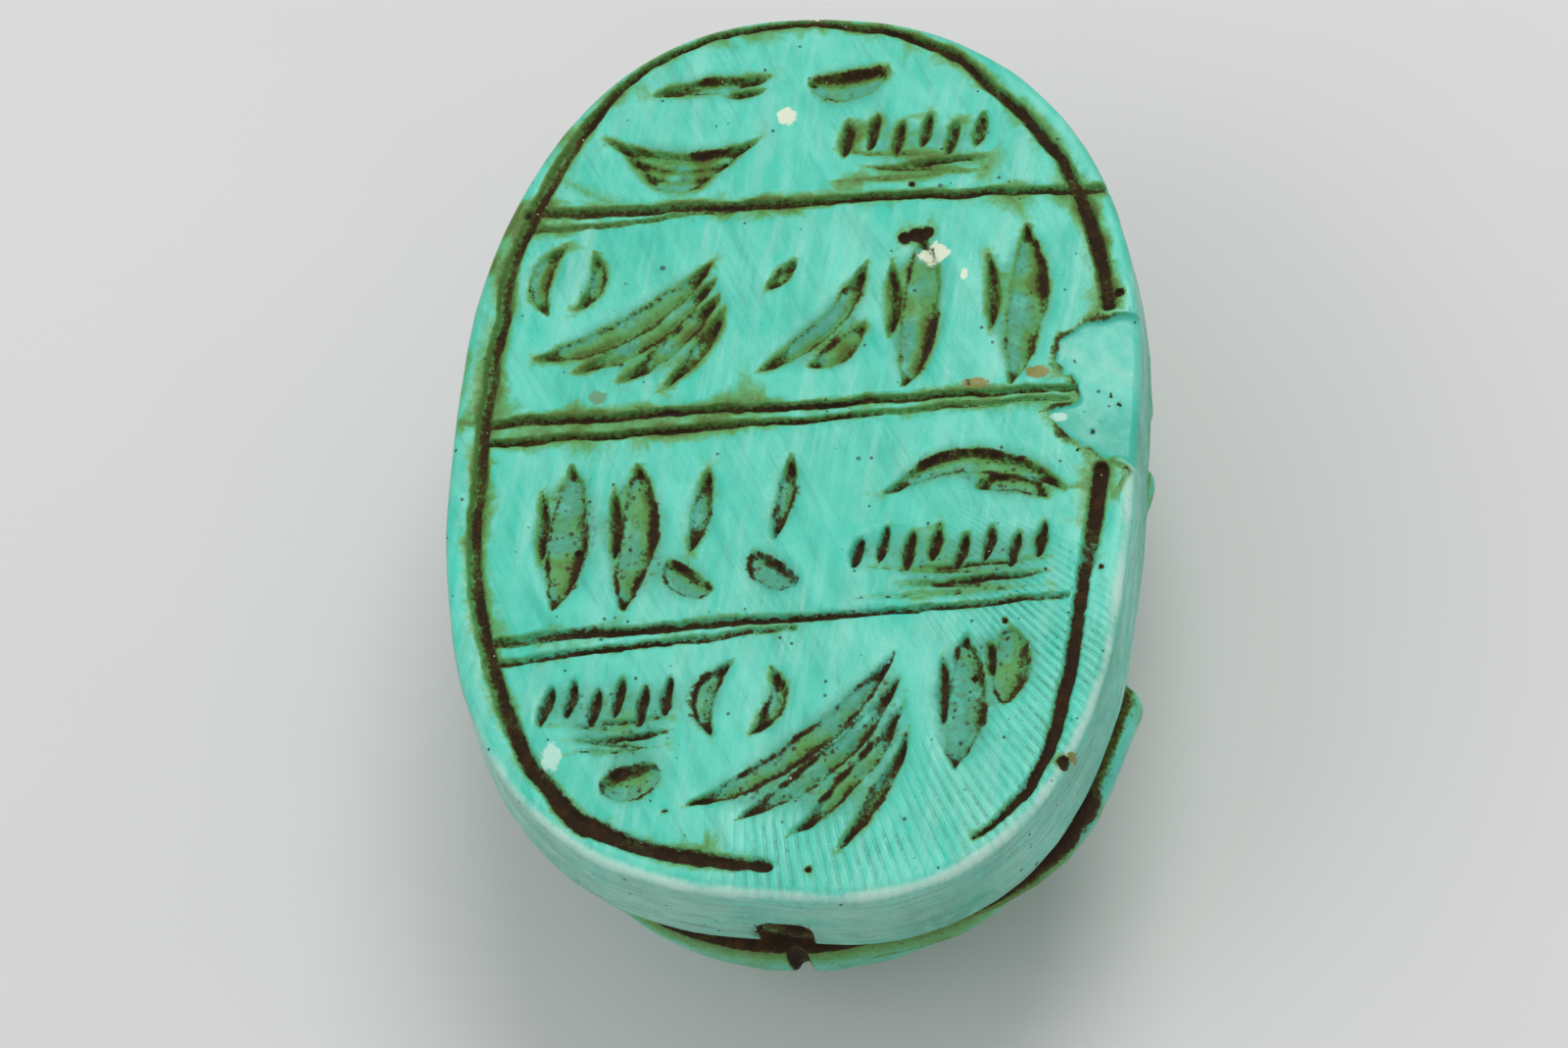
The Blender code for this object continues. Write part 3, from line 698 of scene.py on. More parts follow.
def plinth_distance(x, y, depth):
    rim = rim_distance(x, y)
    worn = 0.07 * noise((x, y, depth), 5.0, 61) + 0.03 * noise((x, y, depth), 1.4, 62)
    wall = rim - WALL_FLARE * clip01(depth / PLINTH_DEPTH) + 0.08 + worn
    top = -depth - sample_map(FACE["height"], x, y)
    softness = 0.55 + 0.35 * smoothstep(x * 0.8 - y, 8, 26)
    body = smooth_max(top, wall, softness)
    return smooth_max(body, depth - PLINTH_DEPTH + 0.5 * worn, UNDERSIDE_SOFTNESS)


def bed_distance(x, y, depth):
    turn = np.arctan2(y / FACE_LENGTH, x / FACE_WIDTH)
    near_head = np.maximum(np.sin(turn), 0) ** 6
    rim = rim_distance(x, y) + mix(BED_INSET, BED_HEAD_INSET, near_head)
    middle = (PLINTH_DEPTH + BED_DEPTH) / 2
    return smooth_max(rim, np.abs(depth - middle) - (BED_DEPTH - PLINTH_DEPTH) / 2 - 0.4, LINE_SOFTNESS)


SHELL_TAIL_Y = -FACE_LENGTH / 2 + SHELL_INSET
SHELL_HEAD_Y = FACE_LENGTH / 2 - SHELL_HEAD_INSET
SHELL_MIDDLE_Y = (SHELL_TAIL_Y + SHELL_HEAD_Y) / 2
SHELL_HALF_WIDTH = FACE_WIDTH / 2 - SHELL_INSET
SHELL_HALF_LENGTH = (SHELL_HEAD_Y - SHELL_TAIL_Y) / 2
SHELL_DROP = HEIGHT - SHELL_EDGE_DEPTH + REST_SPOT_SAG


def shell_distance(x, y, depth):
    across = np.abs(x) / SHELL_HALF_WIDTH + TINY
    along = np.abs(y - SHELL_MIDDLE_Y) / SHELL_HALF_LENGTH + TINY
    plan_power = SHELL_PLAN_POWER
    power = SHELL_SECTION_POWER
    plan = (across ** plan_power + along ** plan_power) ** (1 / plan_power)
    below = depth - SHELL_EDGE_DEPTH
    span = np.where(below > 0, SHELL_DROP, SHELL_ROOT)
    lift = np.abs(below) / span + TINY
    level = (plan ** power + lift ** power) ** (1 / power)
    plan_slope = (plan / level) ** (power - 1)
    slopes_squared = (
        (plan_slope * (across / plan) ** (plan_power - 1) / SHELL_HALF_WIDTH) ** 2
        + (plan_slope * (along / plan) ** (plan_power - 1) / SHELL_HALF_LENGTH) ** 2
        + ((lift / level) ** (power - 1) / span) ** 2
    )
    return (level - 1) / np.sqrt(slopes_squared)


def shell_depth(x, y):
    """The dome's depth at a place, no deeper than the spot that it rests on."""
    across = (np.abs(x) / SHELL_HALF_WIDTH) ** SHELL_PLAN_POWER
    along = (np.abs(y - SHELL_MIDDLE_Y) / SHELL_HALF_LENGTH) ** SHELL_PLAN_POWER
    plan = np.minimum((across + along) ** (1 / SHELL_PLAN_POWER), 1)
    drop = (1 - plan ** SHELL_SECTION_POWER) ** (1 / SHELL_SECTION_POWER)
    return np.minimum(SHELL_EDGE_DEPTH + SHELL_DROP * drop, HEIGHT)


def chain_distance(x, y, depth, stops, radii):
    """Distance from a chain of tapering rods, which is only worked out near the chain."""
    points = np.array(stops, float)
    margin = max(radii) + PART_REACH
    near = np.ones(x.shape, bool)
    for values, low, high in zip((x, y, depth), points.min(0) - margin, points.max(0) + margin):
        near &= (values > low) & (values < high)
    result = np.full_like(x, PART_REACH)
    place = np.stack((x[near], y[near], depth[near]), axis=1)
    best = np.full(len(place), PART_REACH)
    for start, end, start_radius, end_radius in zip(points[:-1], points[1:], radii[:-1], radii[1:]):
        run = end - start
        share = clip01((place - start) @ run / (run @ run))
        away = np.linalg.norm(place - start - share[:, None] * run, axis=1)
        best = np.minimum(best, away - mix(start_radius, end_radius, share))
    result[near] = best
    return result


def smooth_route(stops, count):
    """Points spaced along a smooth curve through the stops."""
    stops = np.array(stops, float)
    padded = np.vstack((stops[0] * 2 - stops[1], stops, stops[-1] * 2 - stops[-2]))
    route = []
    for index in range(count):
        place = index / (count - 1) * (len(stops) - 1)
        segment = min(int(place), len(stops) - 2)
        share = place - segment
        before, start, end, after = padded[segment:segment + 4]
        pull_out = (end - before) / 2
        pull_in = (after - start) / 2
        route.append(
            start
            + pull_out * share
            + (3 * (end - start) - 2 * pull_out - pull_in) * share ** 2
            + (2 * (start - end) + pull_out + pull_in) * share ** 3
        )
    return np.array(route)


def leg_chains():
    """Each leg's points and radii, the thigh first and the shin with a taper to the foot."""
    chains = []
    for stops in LEGS:
        for is_left in (False, True):
            places = []
            tuck = LEFT_HIND_TUCK if is_left and stops is LEGS[-1] else 0
            for degrees, inset, depth in stops:
                angle = math.radians(180 - degrees if is_left else degrees)
                x, y = outline_points(np.array(angle), inset + tuck)
                places.append((float(x), float(y), depth))
            shin = smooth_route(places[1:], SHIN_STATIONS)
            taper = LEG_RADIUS * mix(1, FOOT_SHARE, np.linspace(0, 1, len(shin)) ** 2)
            chains.append((np.vstack((places[0], shin)), np.concatenate(((LEG_RADIUS,), taper))))
    return chains


def back_line_chains():
    """The neck, the seam between the wing cases, their margins and the shoulder notches."""
    shares = np.linspace(-1, 1, BACK_LINE_STATIONS)
    neck_x = (SHELL_HALF_WIDTH + BACK_LINE_WIDTH) * shares
    routes = [(neck_x, NECK_LINE_Y - NECK_LINE_BOW * (1 - shares ** 2), 1.0)]
    seam_end = SHELL_MIDDLE_Y - SHELL_HALF_LENGTH - BACK_LINE_WIDTH
    seam_y = mix(NECK_LINE_Y - NECK_LINE_BOW, seam_end, (shares + 1) / 2)
    routes.append((np.zeros_like(shares), seam_y, 1.0))
    neck_share = (NECK_LINE_Y - SHELL_MIDDLE_Y) / (SHELL_HALF_LENGTH * MARGIN_SHARE)
    neck_angle = math.asin(min(neck_share, 1))
    angles = np.linspace(math.radians(MARGIN_TAIL_DEG), neck_angle, BACK_LINE_STATIONS)
    reach = np.cos(angles) ** SHELL_PLAN_POWER + np.abs(np.sin(angles)) ** SHELL_PLAN_POWER
    spread = MARGIN_SHARE * reach ** (-1 / SHELL_PLAN_POWER)
    margin_y = SHELL_MIDDLE_Y + SHELL_HALF_LENGTH * spread * np.sin(angles)
    steps = np.linspace(0, 1, NOTCH_STATIONS)
    notch_y = NECK_LINE_Y - SHOULDER_NOTCH_LENGTH * steps
    for side in (-1, 1):
        routes.append((side * SHELL_HALF_WIDTH * spread * np.cos(angles), margin_y, 1.0))
        inner = SHELL_HALF_WIDTH * SHOULDER_NOTCH_SHARE - SHOULDER_NOTCH_LENGTH / 2 * steps
        routes.append((side * inner, notch_y, NOTCH_TAPER))
    chains = []
    for xs, ys, taper in routes:
        points = np.stack((xs, ys, shell_depth(xs, ys)), axis=1)
        chains.append((points, BACK_LINE_WIDTH / 2 * mix(1, taper, np.linspace(0, 1, len(points)))))
    return chains


LEG_CHAINS = leg_chains()
BACK_LINE_CHAINS = back_line_chains()
SHIELD_CENTRE_Y = FACE_LENGTH / 2 - SHIELD_INSET - SHIELD_LENGTH / 2


def tooth_chains():
    """Notches that leave the teeth standing along the shield's front."""
    chains = []
    for swing in np.radians(TOOTH_SPREAD_DEG) * np.linspace(-0.5, 0.5, SHIELD_TEETH - 1):
        edge = np.array((math.sin(swing) * SHIELD_HALF_WIDTH, math.cos(swing) * SHIELD_LENGTH / 2, 0))
        root = np.array((0, SHIELD_CENTRE_Y, PLINTH_DEPTH + TOOTH_NOTCH)) + edge
        slope = edge * (SHIELD_TAPER - 1) + (0, 0, SHIELD_DEPTH - PLINTH_DEPTH)
        chains.append(((root, root + slope), (TOOTH_NOTCH * TOOTH_ROOT_SHARE, TOOTH_NOTCH)))
    return chains


TOOTH_CHAINS = tooth_chains()


def head_distance(x, y, depth):
    """Distance from the rounded head and the two eyes at its sides."""
    radii = (HEAD_HALF_WIDTH, HEAD_HALF_LENGTH, HEAD_TOP_DEPTH - HEAD_MID_DEPTH)
    centre_y = FACE_LENGTH / 2 - HEAD_INSET - HEAD_HALF_LENGTH
    offsets = (x / radii[0], (y - centre_y) / radii[1], (depth - HEAD_MID_DEPTH) / radii[2])
    level = np.sqrt(sum(offset ** 2 for offset in offsets)) + TINY
    slope = np.sqrt(sum((offset / radius) ** 2 for offset, radius in zip(offsets, radii))) / level
    head = (level - 1) / np.maximum(slope, TINY)
    eye_x = HEAD_HALF_WIDTH * math.cos(math.radians(EYE_ANGLE_DEG))
    eye_y = centre_y + HEAD_HALF_LENGTH * math.sin(math.radians(EYE_ANGLE_DEG))
    eye_depth = HEAD_MID_DEPTH + EYE_RADIUS / 2
    eyes = np.sqrt((np.abs(x) - eye_x) ** 2 + (y - eye_y) ** 2 + (depth - eye_depth) ** 2) - EYE_RADIUS
    return smooth_min(head, eyes, SMALL_SOFTNESS)


def shield_distance(x, y, depth):
    share = clip01((depth - PLINTH_DEPTH) / (SHIELD_DEPTH - PLINTH_DEPTH))
    taper = mix(1, SHIELD_TAPER, share)
    across = x / (SHIELD_HALF_WIDTH * taper)
    along = (y - SHIELD_CENTRE_Y) / (SHIELD_LENGTH / 2 * taper)
    level = np.hypot(across, along) + TINY
    slope = np.hypot(across / SHIELD_HALF_WIDTH, along / (SHIELD_LENGTH / 2)) / level
    middle = (PLINTH_DEPTH + SHIELD_DEPTH) / 2
    slab = np.abs(depth - middle) - (SHIELD_DEPTH - PLINTH_DEPTH) / 2 - 0.2
    shield = smooth_max((level - 1) / np.maximum(slope, TINY), slab, SHIELD_SOFTNESS)
    for stops, radii in TOOTH_CHAINS:
        shield = smooth_max(shield, -chain_distance(x, y, depth, stops, radii), TOOTH_SOFTNESS)
    return shield


def bore_distance(x, y, depth):
    """Distance from a squarish hole from head to tail, worked out only near it."""
    near = (np.abs(x) < BORE_REACH) & (np.abs(depth - BORE_DEPTH) < BORE_REACH)
    place = (x[near], y[near], depth[near])
    across = np.abs(place[0] - BORE_OFFSET) / BORE_HALF_WIDTH
    along = np.abs(place[2] - BORE_DEPTH) / BORE_HALF_WIDTH
    level = (across ** 4 + along ** 4 + 1e-9) ** 0.25
    result = np.full_like(x, 2.0)
    result[near] = (level - 1) * BORE_HALF_WIDTH + 0.12 * noise(place, 0.9, 71)
    return result


def body_distance(x, y, depth):
    """Everything under the plinth."""
    shell = shell_distance(x, y, depth)
    for stops, radii in BACK_LINE_CHAINS:
        shell = smooth_max(shell, -chain_distance(x, y, depth, stops, radii), LINE_SOFTNESS)
    body = smooth_min(shell, bed_distance(x, y, depth), JOIN_SOFTNESS)
    head = smooth_min(head_distance(x, y, depth), shield_distance(x, y, depth), LINE_SOFTNESS)
    body = smooth_min(body, head, JOIN_SOFTNESS)
    for stops, radii in LEG_CHAINS:
        body = smooth_min(body, chain_distance(x, y, depth, stops, radii), LINE_SOFTNESS)
    worn = 0.05 * noise((x, y, depth), 2.4, 63) + 0.02 * noise((x, y, depth), 0.8, 64)
    return body + 0.04 + worn


def amulet_distance(points):
    """Distance outside the amulet, for an array of points with depths."""
    x, y, depth = points.T
    distances = []
    for part, near in (
        (plinth_distance, depth < PLINTH_DEPTH + PART_REACH),
        (body_distance, depth > PLINTH_DEPTH - PART_REACH),
    ):
        distance = np.full(len(points), FAR)
        distance[near] = part(x[near], y[near], depth[near])
        distances.append(distance)
    amulet = smooth_min(*distances, PLINTH_JOIN_SOFTNESS)
    amulet = smooth_max(amulet, -bore_distance(x, y, depth), SMALL_SOFTNESS)
    return smooth_max(amulet, depth - HEIGHT, REST_SPOT_SOFTNESS)


# Tracing the surface

def in_chunks(points):
    starts = range(0, len(points), CHUNK)
    return np.concatenate([amulet_distance(points[start:start + CHUNK]) for start in starts])


def grid_axes():
    """The grid's coordinates, with a whole number of blocks along each axis."""
    lows = (-FACE_WIDTH / 2 - GRID_MARGIN - 0.4, -FACE_LENGTH / 2 - GRID_MARGIN - 0.6, -GRID_MARGIN)
    highs = (-lows[0], -lows[1], HEIGHT + GRID_MARGIN)
    axes = []
    for low, high, step in zip(lows, highs, GRID_STEP):
        blocks = math.ceil((high - low) / (step * BLOCK))
        axes.append(low + step * np.arange(blocks * BLOCK))
    return axes


def distance_grid(axes):
    """Distances on the grid: exact near the surface, and only the sign elsewhere."""
    middles = [axis.reshape(-1, BLOCK).mean(1) for axis in axes]
    mesh = np.meshgrid(*middles, indexing="ij")
    coarse = in_chunks(np.stack([part.ravel() for part in mesh], axis=1)).reshape(mesh[0].shape)
    reach = np.linalg.norm(GRID_STEP) * BLOCK / 2 * 1.5
    near = np.abs(coarse) < reach
    for axis in range(3):
        near = near.repeat(BLOCK, axis)
        coarse = coarse.repeat(BLOCK, axis)
    values = coarse.astype(np.float32)
    places = np.nonzero(near)
    points = np.stack([axis[index] for axis, index in zip(axes, places)], axis=1)
    values[places] = in_chunks(points)
    return values


CORNERS = tuple(np.ndindex(2, 2, 2))


def surface_net(values, axes):
    """One point in each grid cell that the surface crosses, and the faces between them."""
    inside = values < 0
    cells = tuple(size - 1 for size in values.shape)
    count = np.zeros(cells, np.uint8)
    for corner in CORNERS:
        window = tuple(slice(step, step + size) for step, size in zip(corner, cells))
        count += inside[window]
    crossed = np.nonzero((count > 0) & (count < 8))
    number = np.full(cells, -1, np.int32)
    number[crossed] = np.arange(len(crossed[0]))

    total = np.zeros((len(crossed[0]), 3))
    weight = np.zeros(len(crossed[0]))
    for axis in range(3):
        for corner in CORNERS:
            if corner[axis]:
                continue
            other = tuple(1 if index == axis else step for index, step in enumerate(corner))
            first = values[tuple(index + step for index, step in zip(crossed, corner))]
            second = values[tuple(index + step for index, step in zip(crossed, other))]
            hit = (first < 0) != (second < 0)
            share = first[hit] / (first[hit] - second[hit])
            place = np.tile(np.array(corner, float), (hit.sum(), 1))
            place[:, axis] = share
            total[hit] += place
            weight[hit] += 1
    local = total / weight[:, None]
    starts = [axis[0] for axis in axes]
    points = (np.stack(crossed, axis=1) + local) * GRID_STEP + starts
    return points, net_faces(inside, number)


def net_faces(inside, number):
    faces = []
    for axis in range(3):
        ahead = [slice(None)] * 3
        behind = [slice(None)] * 3
        ahead[axis] = slice(1, None)
        behind[axis] = slice(None, -1)
        change = inside[tuple(behind)] != inside[tuple(ahead)]
        place = np.stack(np.nonzero(change), axis=1)
        place = place[(place > 0).all(1) & (place < np.array(number.shape)).all(1)]
        side_a, side_b = [index for index in range(3) if index != axis]
        corners = []
        for step_a, step_b in ((0, 0), (1, 0), (1, 1), (0, 1)):
            shifted = place.copy()
            shifted[:, side_a] -= step_a
            shifted[:, side_b] -= step_b
            corners.append(number[tuple(shifted.T)])
        quads = np.stack(corners, axis=1)
        starts_inside = inside[tuple(place.T)]
        flip = starts_inside == (axis == 1)
        quads[flip] = quads[flip][:, ::-1]
        faces.append(quads)
    return np.concatenate(faces)


TETRAHEDRON = np.array(((1, 1, 1), (1, -1, -1), (-1, 1, -1), (-1, -1, 1)), float)


def slopes(points):
    """The direction in which the distance grows."""
    total = np.zeros_like(points)
    for corner in TETRAHEDRON:
        total += in_chunks(points + corner * SLOPE_STEP)[:, None] * corner
    return total / (4 * SLOPE_STEP)


def settled(points, rounds, limit=0.12):
    """The points moved onto the surface."""
    for _ in range(rounds):
        slope = slopes(points)
        steepness = np.maximum((slope ** 2).sum(1), 0.05)
        move = -slope * (in_chunks(points) / steepness)[:, None]
        length = np.linalg.norm(move, axis=1, keepdims=True)
        points = points + move * np.minimum(1, limit / np.maximum(length, 1e-9))
    return points


def vertex_places(mesh):
    return np.array([vertex.co for vertex in mesh.vertices], float)


def move_vertices(mesh, places):
    mesh.vertices.foreach_set("co", places.astype(np.float32).ravel())


def thinned(piece):
    """The piece's new mesh, with fewer faces where the surface is smooth."""
    triangles = sum(len(polygon.vertices) - 2 for polygon in piece.data.polygons)
    modifier = piece.modifiers.new("thin", "DECIMATE")
    modifier.ratio = min(TRIANGLE_LIMIT / triangles, 1)
    bpy.context.view_layer.update()
    graph = bpy.context.evaluated_depsgraph_get()
    mesh = bpy.data.meshes.new_from_object(piece.evaluated_get(graph))
    piece.modifiers.clear()
    piece.data = mesh
    return mesh


# What the glaze looks like at each point of the mesh

def gap_share(points, normals, reach):
    """How closed in each point is: 1 where the stone opposite is nearer than the reach."""
    return clip01(1 - in_chunks(points + normals * reach) / reach)


def surface_marks(points, normals):
    """Soil, stain, tint, wear and the other marks at each point, from 0 to 1. On the sides the soil, stain
    and tint are partly painted shade in crevices, under the plinth and at the tail.
    """
    x, y, depth = points.T
    rim = rim_distance(x, y)
    on_face = smoothstep(depth, 1.3, 0.75) * smoothstep(rim, -0.02, -0.25)
    near_gap = gap_share(points, normals, 0.7)
    wide_gap = gap_share(points, normals, 1.8)
    patchy = noise((x, y, depth), 1.3, 82)
    broad = noise((x, y, depth), 5.0, 83)

    # Dark soil where the stone is closed in, from how near the stone opposite is: partly soil, partly
    # painted shade in the crevices.
    crevice_soil_and_shade = smoothstep(near_gap + 0.6 * wide_gap + 0.16 * patchy, 0.34, 0.85)
    under = smoothstep(depth, PLINTH_DEPTH - 0.5, PLINTH_DEPTH + 0.3)
    tail = smoothstep(y, -19, -27)
    shelf_end = PLINTH_DEPTH + mix(2.6, 6.0, tail)
    shelf = smoothstep(depth, shelf_end, shelf_end - 1.6) * mix(0.75, 1.0, tail)
    upward = smoothstep(-normals[:, 2], -0.15, 0.55)
    # Soil on faces that look up just under the plinth, most at the tail: partly soil, partly painted shade
    # under the plinth's overhang.
    lodged_soil_and_shade = shelf * under * upward * (1.0 + 0.5 * patchy)
    # Green stain under the plinth, heavier where the stone is closed in, and painted shade darkening the
    # tail end below the plinth: partly stain, partly painted shade.
    side_stain_and_shade = clip01(1.1 * smoothstep(near_gap + wide_gap, 0.08, 0.60) + 0.3 * patchy + 0.15)
    shaded = 0.90 * tail * smoothstep(depth, PLINTH_DEPTH + 8.0, PLINTH_DEPTH + 4.0)
    side_stain_and_shade = np.maximum(side_stain_and_shade, shaded) * mix(0.10, 1.0, under)
    rim_stain = np.exp(-(depth / 1.2) ** 2) * smoothstep(y, 14, 27) * (0.6 + 0.6 * patchy)
    # On the sides, soil and stain here also carry painted shade.
    marks = {
        "soil": np.maximum(crevice_soil_and_shade * mix(0.45, 1.0, under), lodged_soil_and_shade),
        "stain": np.maximum(side_stain_and_shade, rim_stain),
        # Tint on the sides: random deeper green, and more where the stone is closed in, as painted shade.
        "tint_and_shade": clip01(0.20 + 0.50 * broad + 0.5 * wide_gap),
    }
    for name, side in marks.items():
        marks[name] = mix(side, sample_map(FACE[name], x, y), on_face)

    bore = bore_distance(x, y, depth)
    in_bore = smoothstep(bore, 0.25, 0.02)
    mouth = np.exp(-(np.abs(bore) / 0.35) ** 2)
    below_bore = np.exp(-((x - BORE_OFFSET) / 2.2) ** 2 - ((depth - 7.5) / 2.2) ** 2) * under * tail
    for layer in (in_bore, 0.45 * mouth * (1 - on_face), below_bore):
        marks["soil"] = np.maximum(marks["soil"], layer)

    corner = np.hypot(np.maximum(-rim - 0.15, 0), np.maximum(depth - 0.25, 0))
    worn_side = 0.25 + 0.75 * smoothstep(x * 0.55 - y, 2, 20)
    marks["wear"] = np.exp(-(corner / 0.5) ** 2) * worn_side * (0.95 + 0.5 * patchy)
    marks["chip"] = sample_map(FACE["chip"], x, y) * smoothstep(depth, 1.6, 1.0)
    marks["marks"] = sample_map(FACE["marks"], x, y) * on_face
    marks["wall"] = (1 - on_face) * (1 - under)
    marks["bleach"] = marks["wall"] * mix(0.25, 1.0, smoothstep(-0.6 * x - y, 8, 26))
    return marks


def new_object(name, data):
    thing = bpy.data.objects.new(name, data)
    bpy.context.scene.collection.objects.link(thing)
    return thing


def build_amulet():
    """The amulet's surface in millimetres, with its marks stored on its points."""
    axes = grid_axes()
    points, faces = surface_net(distance_grid(axes), axes)
    mesh = bpy.data.meshes.new("scarab_carving")
    mesh.from_pydata(settled(points, 2), [], faces)
    piece = new_object("scarab_carving", mesh)
    mesh = thinned(piece)
    points = settled(vertex_places(mesh), 1, 0.05)
    move_vertices(mesh, points)
    slope = slopes(points)
    normals = slope / np.maximum(np.linalg.norm(slope, axis=1, keepdims=True), TINY)
    for name, layer in surface_marks(points, normals).items():
        attribute = mesh.attributes.new(name, "FLOAT", "POINT")
        attribute.data.foreach_set("value", clip01(layer).astype(np.float32))
    return piece


def to_frame(piece):
    """Turn depths into heights, centre the piece on the CAD box and go over to metres."""
    places = vertex_places(piece.data)
    middle = (places.min(0) + places.max(0)) / 2
    places[:, :2] -= middle[:2]
    places[:, 2] = HEIGHT - places[:, 2]
    move_vertices(piece.data, places / 1000)
    piece.data.flip_normals()
    piece.data.shade_smooth()
    piece.data.update()
    return middle


# The material

class Nodes:
    """Short names for adding shader nodes."""

    def __init__(self, material):
        material.use_nodes = True
        self.tree = material.node_tree
        self.shader = self.tree.nodes["Principled BSDF"]

    def set(self, socket, value):
        """Give the socket a plain value, or link another node's output to it."""
        if isinstance(value, (int, float, tuple)):
            socket.default_value = value
        else:
            self.tree.links.new(value, socket)

    def add(self, kind, *entries, **named):
        """A new node with its inputs set by number or by name."""
        node = self.tree.nodes.new("ShaderNode" + kind)
        for key, value in (*enumerate(entries), *named.items()):
            self.set(node.inputs[key], value)
        return node

    def attribute(self, name):
        node = self.add("Attribute")
        node.attribute_name = name
        return node.outputs["Fac"]

    def math(self, operation, first, second=0.0, clamp=False):
        node = self.add("Math", first, second)
        node.operation = operation
        node.use_clamp = clamp
        return node.outputs[0]

    def times(self, first, second, clamp=False):
        return self.math("MULTIPLY", first, second, clamp)

    def plus(self, first, second, clamp=False):
        return self.math("ADD", first, second, clamp)

    def minus(self, first, second):
        return self.math("SUBTRACT", first, second)

    def step(self, value, low, high, top=1.0):
        """A smooth step from 0 to top while the value goes from low to high."""
        node = self.add("MapRange", value, low, high, 0.0, top)
        node.interpolation_type = "SMOOTHSTEP"
        return node.outputs[0]

    def mix(self, share, first, second):
        node = self.add("Mix")
        node.data_type = "RGBA"
        for index, value in ((0, share), (6, first), (7, second)):
            self.set(node.inputs[index], value)
        return node.outputs[2]

    def over(self, colour, paint, field, low, high, amount=1.0):
        """The colour with the paint laid on it where the field is high."""
        return self.mix(self.step(field, low, high, amount), colour, paint)

    def stretched(self, position, turn_deg, lengths, middle=(0, 0, 0)):
        """The position from the middle, divided by the lengths along axes turned about +Z."""
        turn = (0, 0, math.radians(turn_deg))
        node = self.add("Mapping", position, middle, turn, lengths)
        node.vector_type = "TEXTURE"
        return node.outputs[0]

    def noise(self, position, scale, detail=3.0, roughness=0.55):
        node = self.add("TexNoise", Vector=position, Scale=scale, Detail=detail, Roughness=roughness)
        return node.outputs[0]

    def streaks(self, position, turn_deg, lengths, detail=3.0, roughness=0.55):
        return self.noise(self.stretched(position, turn_deg, lengths), 1.0, detail, roughness)


TURQUOISE = (0.050, 0.560, 0.410, 1)
PALE_TURQUOISE = (0.135, 0.680, 0.530, 1)
DEEP_TURQUOISE = (0.020, 0.450, 0.335, 1)
RICH_TURQUOISE = (0.012, 0.580, 0.430, 1)
MID_GREEN = (0.060, 0.310, 0.190, 1)
GREEN_STAIN = (0.095, 0.330, 0.050, 1)
OLIVE = (0.078, 0.135, 0.008, 1)
WORN = (0.560, 0.800, 0.690, 1)
SOIL = (0.024, 0.010, 0.001, 1)
OLIVE_SOIL = (0.060, 0.055, 0.004, 1)
RED_SOIL = (0.080, 0.032, 0.003, 1)
SOIL_CRUMB = (0.230, 0.150, 0.075, 1)
SOIL_GLINT = (0.520, 0.500, 0.400, 1)
SPECK = (0.010, 0.020, 0.008, 1)
WALL_STREAK = (0.110, 0.230, 0.150, 1)
WALL_PALE = (0.400, 0.570, 0.470, 1)
WALL_RUST = (0.170, 0.095, 0.035, 1)

# Brushed streaks: (direction in degrees, length, width, colour, amount)
FINE_WIDTH = 0.5
BROAD_STREAKS = (
    (-62, 9.0, 1.80, PALE_TURQUOISE, 0.60),
    (-66, 7.0, 0.90, DEEP_TURQUOISE, 0.60),
    (84, 8.0, 0.90, PALE_TURQUOISE, 0.55),
    (82, 9.0, 1.60, WORN, 0.17),
)
FINE_STREAKS = (
    (84, 6.0, 0.45, WORN, 0.20),
    (78, 5.0, 0.30, MID_GREEN, 0.24),
    (-60, 6.0, 0.28, MID_GREEN, 0.34),
)

# Layers on the side wall: (lengths along the axes, start, full, colour, amount)
WALL_LAYERS = (
    ((9.0, 9.0, 3.0), 0.25, 0.60, WALL_PALE, 0.55),
    ((6.0, 6.0, 0.40), 0.48, 0.72, WALL_STREAK, 0.50),
    ((3.0, 3.0, 0.22), 0.56, 0.66, WALL_STREAK, 0.60),
    ((2.0, 2.0, 0.70), 0.65, 0.72, WALL_RUST, 0.70),
)


def glaze_colour(nodes, position):
    """Turquoise in paler and deeper patches, with fine brushed streaks."""
    patches = nodes.noise(position, 0.16, 4.0, 0.6)
    colour = nodes.over(TURQUOISE, PALE_TURQUOISE, patches, 0.42, 0.68, 0.75)
    deep = nodes.noise(position, 0.27, 5.0, 0.65)
    colour = nodes.over(colour, RICH_TURQUOISE, deep, 0.50, 0.72, 0.80)
    for turn, length, width, paint, amount in BROAD_STREAKS + FINE_STREAKS:
        streaks = nodes.streaks(position, turn, (length, width, 1.0), 4.0, 0.6)
        share = nodes.step(streaks, 0.47, 0.70, amount)
        if width < FINE_WIDTH:
            where = nodes.streaks(position, turn, (8.0, 3.0 + 4 * width, 2.0))
            share = nodes.times(share, nodes.step(where, 0.46, 0.64))
        colour = nodes.mix(share, colour, paint)
    mottling = nodes.noise(position, 1.5, 5.0, 0.7)
    colour = nodes.over(colour, PALE_TURQUOISE, mottling, 0.54, 0.76, 0.35)
    return nodes.over(colour, DEEP_TURQUOISE, mottling, 0.42, 0.28, 0.30)


def walled(nodes, position, colour):
    """The colour with the side wall's paler glaze, level scratches and rusty flecks."""
    for lengths, low, high, paint, amount in WALL_LAYERS:
        place = nodes.attribute("bleach" if paint is WALL_PALE else "wall")
        layer = nodes.streaks(position, 0, lengths, 5.0, 0.65)
        share = nodes.times(place, nodes.step(layer, low, high, amount))
        colour = nodes.mix(share, colour, paint)
    return colour


